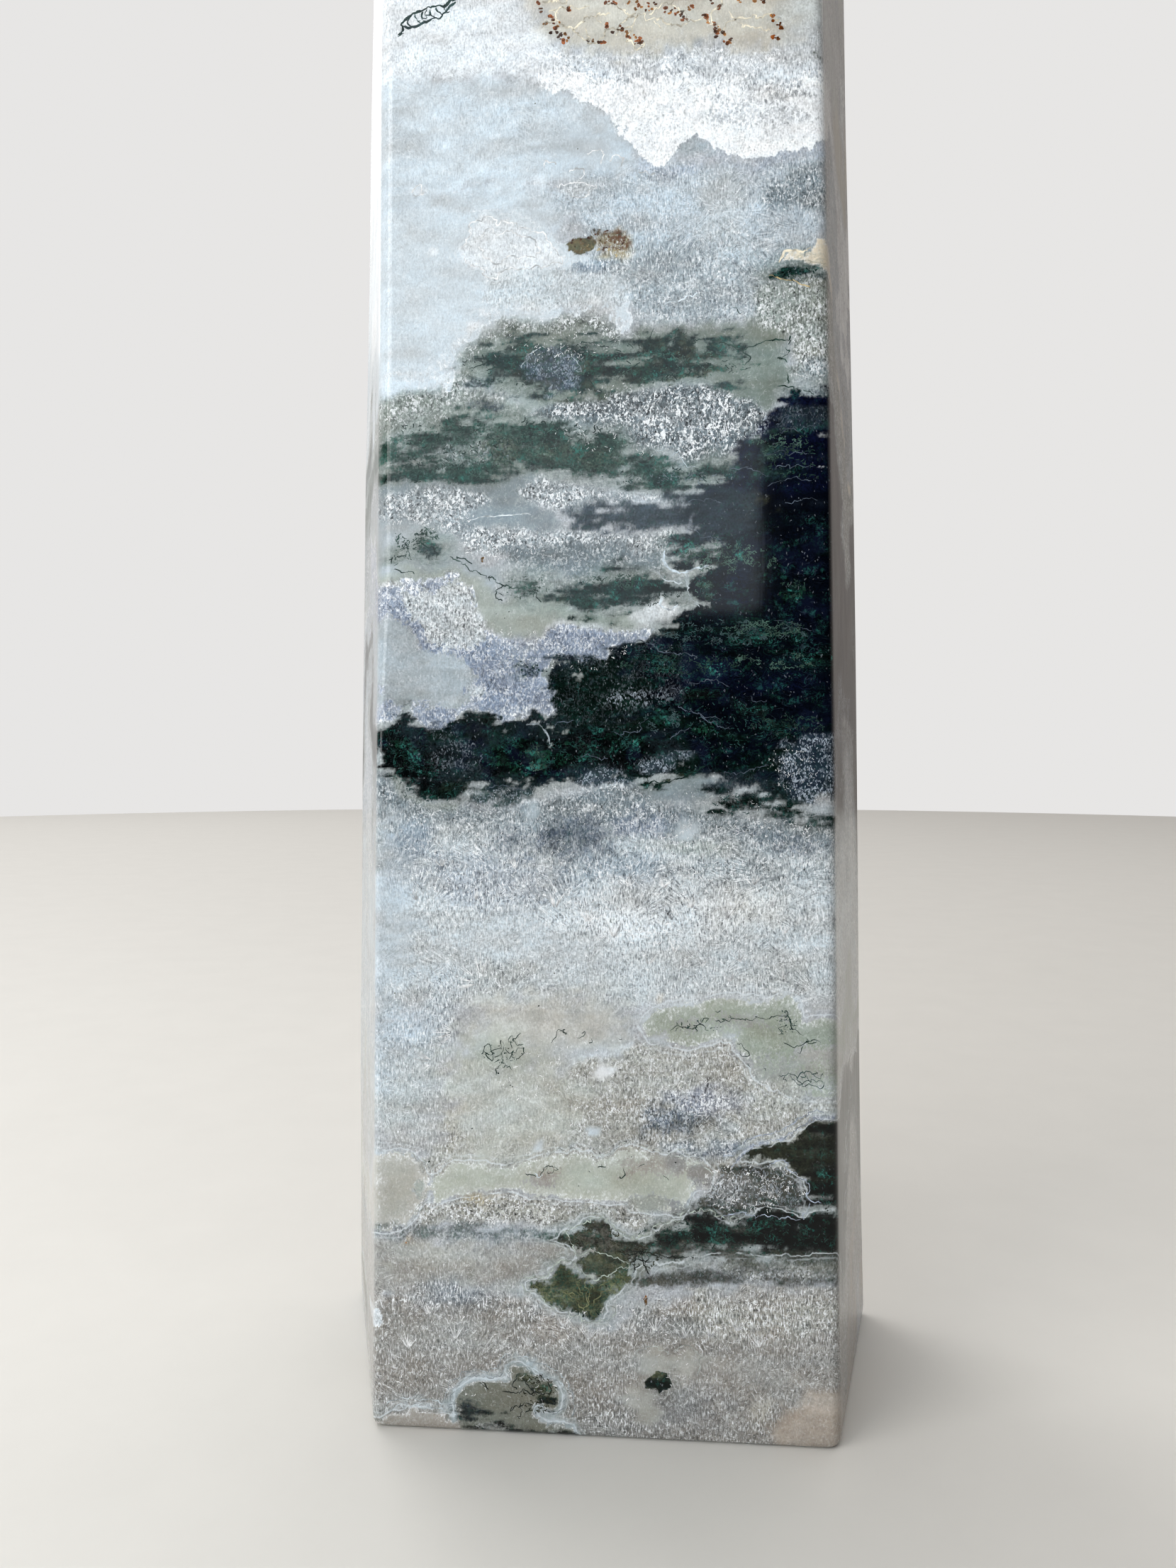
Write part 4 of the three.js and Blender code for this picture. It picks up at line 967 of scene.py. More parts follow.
# ------------------------------------------------------------------ node helpers
class Graph:
    def __init__(self, material):
        material.use_nodes = True
        self.t = material.node_tree
        self.t.nodes.clear()

    def node(self, kind, inputs=None, **props):
        n = self.t.nodes.new(kind)
        for k, v in props.items():
            setattr(n, k, v)
        for k, v in (inputs or {}).items():
            self.plug(n.inputs[k], v)
        return n

    def plug(self, socket, v):
        if isinstance(v, S):
            self.t.links.new(v.s, socket)
        elif v is not None:
            socket.default_value = v

    def math(self, op, *a, clamp=False):
        n = self.t.nodes.new("ShaderNodeMath")
        n.operation = op
        n.use_clamp = clamp
        for i, v in enumerate(a):
            self.plug(n.inputs[i], v)
        return S(self, n.outputs[0])

    def vmath(self, op, *a, scale=None):
        n = self.t.nodes.new("ShaderNodeVectorMath")
        n.operation = op
        for i, v in enumerate(a):
            self.plug(n.inputs[i], v)
        if scale is not None:
            self.plug(n.inputs["Scale"], scale)
        return S(self, n.outputs["Value"] if op in ("LENGTH", "DOT_PRODUCT", "DISTANCE") else n.outputs["Vector"])

    def attr(self, name, out="Fac"):
        n = self.node("ShaderNodeAttribute", attribute_name=name)
        return S(self, n.outputs[out])

    def xyz(self, v):
        n = self.node("ShaderNodeSeparateXYZ", {"Vector": v})
        return [S(self, n.outputs[i]) for i in range(3)]

    def vec(self, x, y, z):
        n = self.node("ShaderNodeCombineXYZ", {"X": x, "Y": y, "Z": z})
        return S(self, n.outputs[0])

    def noise(self, v, scale, detail=2.0, rough=0.5, dist=0.0, out="Fac"):
        n = self.node("ShaderNodeTexNoise", {"Vector": v, "Scale": scale, "Detail": detail, "Roughness": rough, "Distortion": dist})
        return S(self, n.outputs[out])

    def voronoi(self, v, scale, feature="F1", rand=1.0, out="Distance", **props):
        n = self.node("ShaderNodeTexVoronoi", {"Vector": v, "Scale": scale, "Randomness": rand}, feature=feature, **props)
        return S(self, n.outputs[out])

    def step(self, v, lo, hi, to0=0.0, to1=1.0):
        n = self.node("ShaderNodeMapRange", {"Value": v, "From Min": lo, "From Max": hi, "To Min": to0, "To Max": to1},
                      interpolation_type="SMOOTHSTEP")
        return S(self, n.outputs[0])

    def mix(self, f, a, b, mode="MIX"):
        n = self.node("ShaderNodeMix", data_type="RGBA", blend_type=mode)
        self.plug(n.inputs[0], f)
        self.plug(n.inputs[6], a)
        self.plug(n.inputs[7], b)
        return S(self, n.outputs[2])


class S:
    def __init__(self, g, s):
        self.g, self.s = g, s

    def __add__(self, o):
        return self.g.math("ADD", self, o)

    __radd__ = __add__

    def __sub__(self, o):
        return self.g.math("SUBTRACT", self, o)

    def __rsub__(self, o):
        return self.g.math("SUBTRACT", o, self)

    def __mul__(self, o):
        return self.g.math("MULTIPLY", self, o)

    __rmul__ = __mul__

    def clamp(self):
        return self.g.math("ADD", self, 0.0, clamp=True)


def rgb(r, g, b):
    c = linear((r, g, b))
    return (float(c[0]), float(c[1]), float(c[2]), 1.0)


# ------------------------------------------------------------------ the stone's material
def make_agate():
    mat = bpy.data.materials.new("moss_agate_polished")
    g = Graph(mat)
    coord = g.node("ShaderNodeTexCoord")
    p = g.vmath("SCALE", S(g, coord.outputs["Object"]), scale=1000.0)  # millimetres
    sheet = g.attr("sheet", "Vector")
    moss, glit, need = g.xyz(g.attr("grow_a", "Vector"))
    frost, rust, streak = g.xyz(g.attr("grow_b", "Vector"))
    pale, clear, deep = g.attr("pale", "Color"), g.attr("clear", "Color"), g.attr("deep", "Color")
    D, W, crisp = g.xyz(g.attr("masks", "Vector"))
    rim = g.attr("rim")

    # ---- mottling at three sizes, and the warp that keeps every pattern from looking regular
    big = g.noise(p, 0.16, 3.0, 0.55)
    warp = g.noise(p, 0.55, 3.0, 0.55, out="Color")
    wr, wg, wb = g.xyz(warp)
    mid = wr
    fine = g.noise(p, 3.0, 2.0, 0.6)
    grit = g.noise(p, 4.4, 0.0, 0.5)
    wv = g.vmath("SUBTRACT", warp, (0.5, 0.5, 0.5))
    jit = g.vmath("SUBTRACT", g.noise(p, 1.6, 1.0, 0.5, out="Color"), (0.5, 0.5, 0.5))
    sh = g.vmath("ADD", sheet, g.vmath("ADD", g.vmath("SCALE", wv, scale=0.5), g.vmath("SCALE", jit, scale=0.16)))

    # ---- druzy: small upright crystals, each with its own brightness
    grain_at = g.vmath("MULTIPLY", g.vmath("ADD", sheet, g.vmath("SCALE", jit, scale=0.5)), (1.0, 0.62, 0.0))
    r1 = g.xyz(g.voronoi(grain_at, 5.2, out="Color", voronoi_dimensions="2D"))
    r2 = g.xyz(g.voronoi(grain_at, 9.0, out="Color", voronoi_dimensions="2D"))
    sway = g.step(wg, 0.36, 0.62)
    bright = g.step(r1[0] + (sway - 0.5) * 0.16, 0.74, 0.96)
    bright = (bright * 0.8 + g.step(r2[0] + (sway - 0.5) * 0.12, 0.84, 0.97) * 0.8).clamp()
    gap = g.step(r1[1] + (fine - 0.5) * 0.5, 0.40, 0.14)

    # ---- needles: two sizes of fan, each growing from scattered seeds, and upright fibres
    def fans(size, count, length, wave):
        at = g.vmath("MULTIPLY", sh, (1.0 / size, 1.0 / size, 0.0))
        n = g.node("ShaderNodeTexVoronoi", {"Vector": at, "Scale": 1.0, "Randomness": 1.0}, feature="F1", voronoi_dimensions="2D")
        ox, oy, _ = g.xyz(g.vmath("SUBTRACT", at, S(g, n.outputs["Position"])))
        seed = g.xyz(S(g, n.outputs["Color"]))[0]
        ang = g.math("ARCTAN2", ox, oy + 0.35)
        rad = g.vmath("LENGTH", g.vec(ox, oy + 0.35, 0.0))
        return g.noise(g.vec(ang * count, rad * length, seed * 40.0), wave, 1.0, 0.5)

    fan_a = fans(9.0, 38.0, 4.6, 1.0)
    fan_b = fans(4.4, 22.0, 3.2, 1.0)
    upright = g.noise(g.vmath("MULTIPLY", sh, (7.0, 1.3, 0.0)), 1.0, 1.5, 0.55)
    pick = g.step(wb, 0.42, 0.56)
    pick2 = 0.42 + g.step(big, 0.42, 0.58) * 0.42
    needle = fan_a * (1.0 - pick) + fan_b * pick
    needle = needle * (1.0 - pick2) + upright * pick2
    needle_hi = g.step(needle, 0.53, 0.64)
    needle_lo = g.step(needle, 0.50, 0.38)

    # ---- short bright threads between the crystals
    worm = g.math("ABSOLUTE", g.noise(g.vmath("ADD", p, (7.0, 3.0, 1.0)), 0.95, 2.0, 0.55) - 0.5)
    worms = g.step(worm, 0.026, 0.004) * g.step(fine, 0.46, 0.58)

    # ---- pale layer
    tone = 1.0 + (big - 0.5) * 0.20 + (mid - 0.5) * (0.34 - 0.18 * frost) + (fine - 0.5) * (0.26 - 0.14 * frost)
    tone = tone - glit * 0.25 - gap * glit * 0.34 - needle_lo * need * 0.50 + (r1[2] - 0.5) * glit * 0.46 + (r2[2] - 0.5) * (0.10 + glit * 0.22)
    tone = tone + W * glit * 0.12 + (grit - 0.5) * (0.24 + glit * 0.55 + need * 0.2 - frost * 0.2)
    w2 = W + W * (1.0 - W) * 4.0 * ((fine - 0.5) * 0.8 + (mid - 0.5) * 0.5 + (r1[2] - 0.5) * 0.35)
    inside = g.step(w2, 0.38, 0.60)
    a = g.vmath("SCALE", g.mix(inside, pale, clear), scale=tone)
    frill = g.step(w2, 0.42, 0.60) * g.step(w2, 0.97, 0.72) * g.attr("frill")
    lit = bright * glit * (0.45 + sway * 0.55) * 1.1 + needle_hi * need * 0.84 + worms * (0.12 + glit * 0.6 + need * 0.45)
    lit = lit + frill * (0.25 + bright * 0.45)
    a = g.mix((needle_lo * need * 0.55).clamp(), a, g.vmath("MULTIPLY", a, (0.84, 0.89, 0.97)))
    a = g.mix(lit.clamp(), a, rgb(248, 250, 252))

    # ---- dark layer: black-green ground, tangled threads and clumps of teal moss
    mp = g.vmath("ADD", p, g.vmath("SCALE", wv, scale=1.6))
    flat = g.mix(streak, g.vmath("MULTIPLY", mp, (0.55, 0.55, 0.75)), g.vmath("MULTIPLY", mp, (0.30, 0.30, 1.15)))
    clump = g.noise(flat, 1.0, 3.0, 0.62)
    clumps = g.step(clump, 0.49, 0.60)
    cell = g.voronoi(g.vmath("MULTIPLY", g.vmath("ADD", sheet, g.vmath("SCALE", wv, scale=3.0)), (1.0, 1.25, 0.0)), 2.3,
                     out="Distance", feature="DISTANCE_TO_EDGE", voronoi_dimensions="2D")
    web = g.step(cell, 0.10, 0.02)
    thread = g.step(g.math("ABSOLUTE", g.noise(mp, 1.25, 2.0, 0.6) - 0.5), 0.030, 0.006)
    tuft = g.step(r1[2] + (fine - 0.5) * 0.5, 0.62, 0.84)
    tangle = g.step(g.math("ABSOLUTE", g.noise(flat, 2.1, 3.0, 0.65) - 0.5), 0.11, 0.0)
    b = g.vmath("SCALE", g.vmath("MULTIPLY", deep, (0.90, 1.0, 1.0)), scale=0.48 + (mid - 0.5) * 0.5 + (fine - 0.5) * 0.4 + (tangle - 0.45) * moss * 0.7 + (grit - 0.5) * (0.5 + moss * 0.7))
    smoke = g.step(g.noise(g.vmath("MULTIPLY", mp, (0.55, 0.55, 0.8)), 1.0, 3.0, 0.6), 0.42, 0.66)
    b = g.mix((smoke * crisp * frost * 1.3).clamp(), b, g.mix(g.step(fine, 0.4, 0.6), rgb(98, 100, 72), rgb(126, 126, 102)))
    luma = g.vmath("DOT_PRODUCT", deep, (0.3, 0.6, 0.1))
    rope = g.step(g.math("ABSOLUTE", g.noise(g.vmath("MULTIPLY", mp, (0.5, 0.5, 1.1)), 1.3, 3.0, 0.6) - 0.5), 0.045, 0.004)
    rope = (rope + g.step(r1[2] + (fine - 0.5) * 0.5, 0.60, 0.80) * clumps * 0.8).clamp()
    b = g.mix((rope * g.step(luma, 0.025, 0.08) * (0.35 + moss) * (1.0 - crisp * 0.5)).clamp(), b, g.mix(g.step(wb, 0.40, 0.60), rgb(22, 50, 42), rgb(40, 84, 74)))
    hollow = g.step(clump + (fine - 0.5) * 0.35, 0.50, 0.40)
    b = g.mix((hollow * moss * 0.75).clamp(), b, g.vmath("SCALE", deep, scale=0.22))
    b = g.mix((g.step(big + (wb - 0.5) * 0.6, 0.52, 0.66) * streak * 0.5).clamp(), b, rgb(24, 32, 60))
    level = g.noise(g.vmath("MULTIPLY", mp, (0.30, 0.30, 0.72)), 0.8, 1.5, 0.5)
    contour = g.step(g.math("ABSOLUTE", g.math("FRACT", level * 13.0) - 0.5), 0.085, 0.0) * g.step(wb, 0.46, 0.60)
    b = g.mix((contour * streak * 0.30).clamp(), b, rgb(92, 110, 124))
    green = g.mix(g.step(wb, 0.40, 0.60), rgb(34, 76, 60), rgb(66, 138, 128))
    b = g.mix(((web * 0.30 + thread * 0.55 + tuft * 0.62) * clumps * moss * (0.25 + moss)).clamp(), b, green)
    spark = (g.step(r2[0] + (sway - 0.5) * 0.3, 0.70, 0.92) + bright * 0.35).clamp()
    b = g.mix((spark * (glit - 0.2) * 0.9).clamp(), b, rgb(190, 200, 212))
    b = g.mix((g.step(r2[1], 0.982, 0.996) * (0.1 + glit) * 0.7).clamp(), b, rgb(206, 216, 226))

    # ---- wisps of moss that fade out into the pale stone
    drift = g.noise(g.vmath("MULTIPLY", mp, (0.34, 0.34, 1.7)), 1.0, 4.0, 0.6)
    strand = g.step(g.math("ABSOLUTE", g.noise(g.vmath("MULTIPLY", mp, (0.42, 0.42, 1.5)), 1.0, 3.0, 0.6) - 0.5), 0.055, 0.0)
    a = g.mix(((strand * 0.75 + g.step(drift, 0.52, 0.66) * 0.45) * moss * (1.0 - D)).clamp(), a, rgb(70, 92, 82))

    # ---- join them: the edge of the dark layer is ragged at crystal scale
    edge = D * (1.0 - D) * 4.0
    d2 = D + edge * ((fine - 0.5) * 0.7 + (mid - 0.5) * (0.4 + 0.8 * crisp) + (drift - 0.5) * 2.4 * (1.0 - crisp) * g.step(moss, 0.05, 0.30) + (r1[2] - 0.5) * 0.3)
    half = 0.5 - crisp * 0.36
    col = g.mix(g.step(d2, 0.5 - half, 0.5 + half), a, b)

    # ---- thin agate lines that follow the dark bodies
    wob = (fine - 0.5) * 0.25 + (mid - 0.5) * 0.5

    def thin(at, width, strength):
        return g.step(g.math("ABSOLUTE", rim + wob - at), width, 0.0) * strength

    seen = g.step(wg, 0.30, 0.50)
    lines = ((thin(0.30, 0.16, 0.75) + thin(0.86, 0.18, 0.35)) * seen).clamp()
    col = g.mix(lines, col, rgb(218, 224, 228))

    # ---- rust specks
    rs = g.step(g.noise(p, 2.2, 2.0, 0.7), 0.48, 0.60) * rust
    col = g.mix((rs * 0.85).clamp(), col, rgb(96, 58, 26))

    # ---- the side and back faces: a pale film mixed in is a painted reflection of the room seen at a grazing angle; they are also a little darker overall and keep faint upright marks and dark pits from the saw
    side_finish_and_painted_sheen = g.attr("side_finish_and_painted_sheen")
    streaks = g.noise(g.vmath("MULTIPLY", p, (1.0, 1.0, 0.07)), 1.7, 3.0, 0.6)
    pits = g.step(g.noise(g.vmath("MULTIPLY", p, (1.0, 1.0, 0.35)), 3.4, 2.0, 0.6), 0.66, 0.74)
    # painted reflection: the pale beige mix is the room mirrored in the side and back faces
    col = g.mix(side_finish_and_painted_sheen * 0.14, col, rgb(180, 174, 166))
    col = g.vmath("SCALE", col, scale=1.0 - side_finish_and_painted_sheen * (0.12 + (streaks - 0.5) * 0.5) - side_finish_and_painted_sheen * pits * 0.35)

    # ---- polish: the show face is mirror smooth, the other faces were finished less finely
    wave = g.noise(p, 0.06, 1.0, 0.5)
    drag = g.noise(g.vmath("MULTIPLY", p, (1.0, 1.0, 0.10)), 1.4, 2.0, 0.55)
    rough = 0.06 + side_finish_and_painted_sheen * 0.16 + (drag - 0.5) * (0.03 + side_finish_and_painted_sheen * 0.14)
    bump = g.node("ShaderNodeBump", {"Height": wave * 0.6 + drag * (0.01 + side_finish_and_painted_sheen * 0.03) + mid * 0.008, "Strength": 0.25, "Distance": 0.0004})
    bsdf = g.node("ShaderNodeBsdfPrincipled", {"Base Color": col, "Roughness": rough, "IOR": 1.54, "Specular IOR Level": 0.26, "Normal": S(g, bump.outputs[0])})
    out = g.node("ShaderNodeOutputMaterial")
    g.t.links.new(bsdf.outputs[0], out.inputs[0])
    return mat


agate = make_agate()
me.materials.append(agate)
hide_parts("tower")
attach(stone, "root")

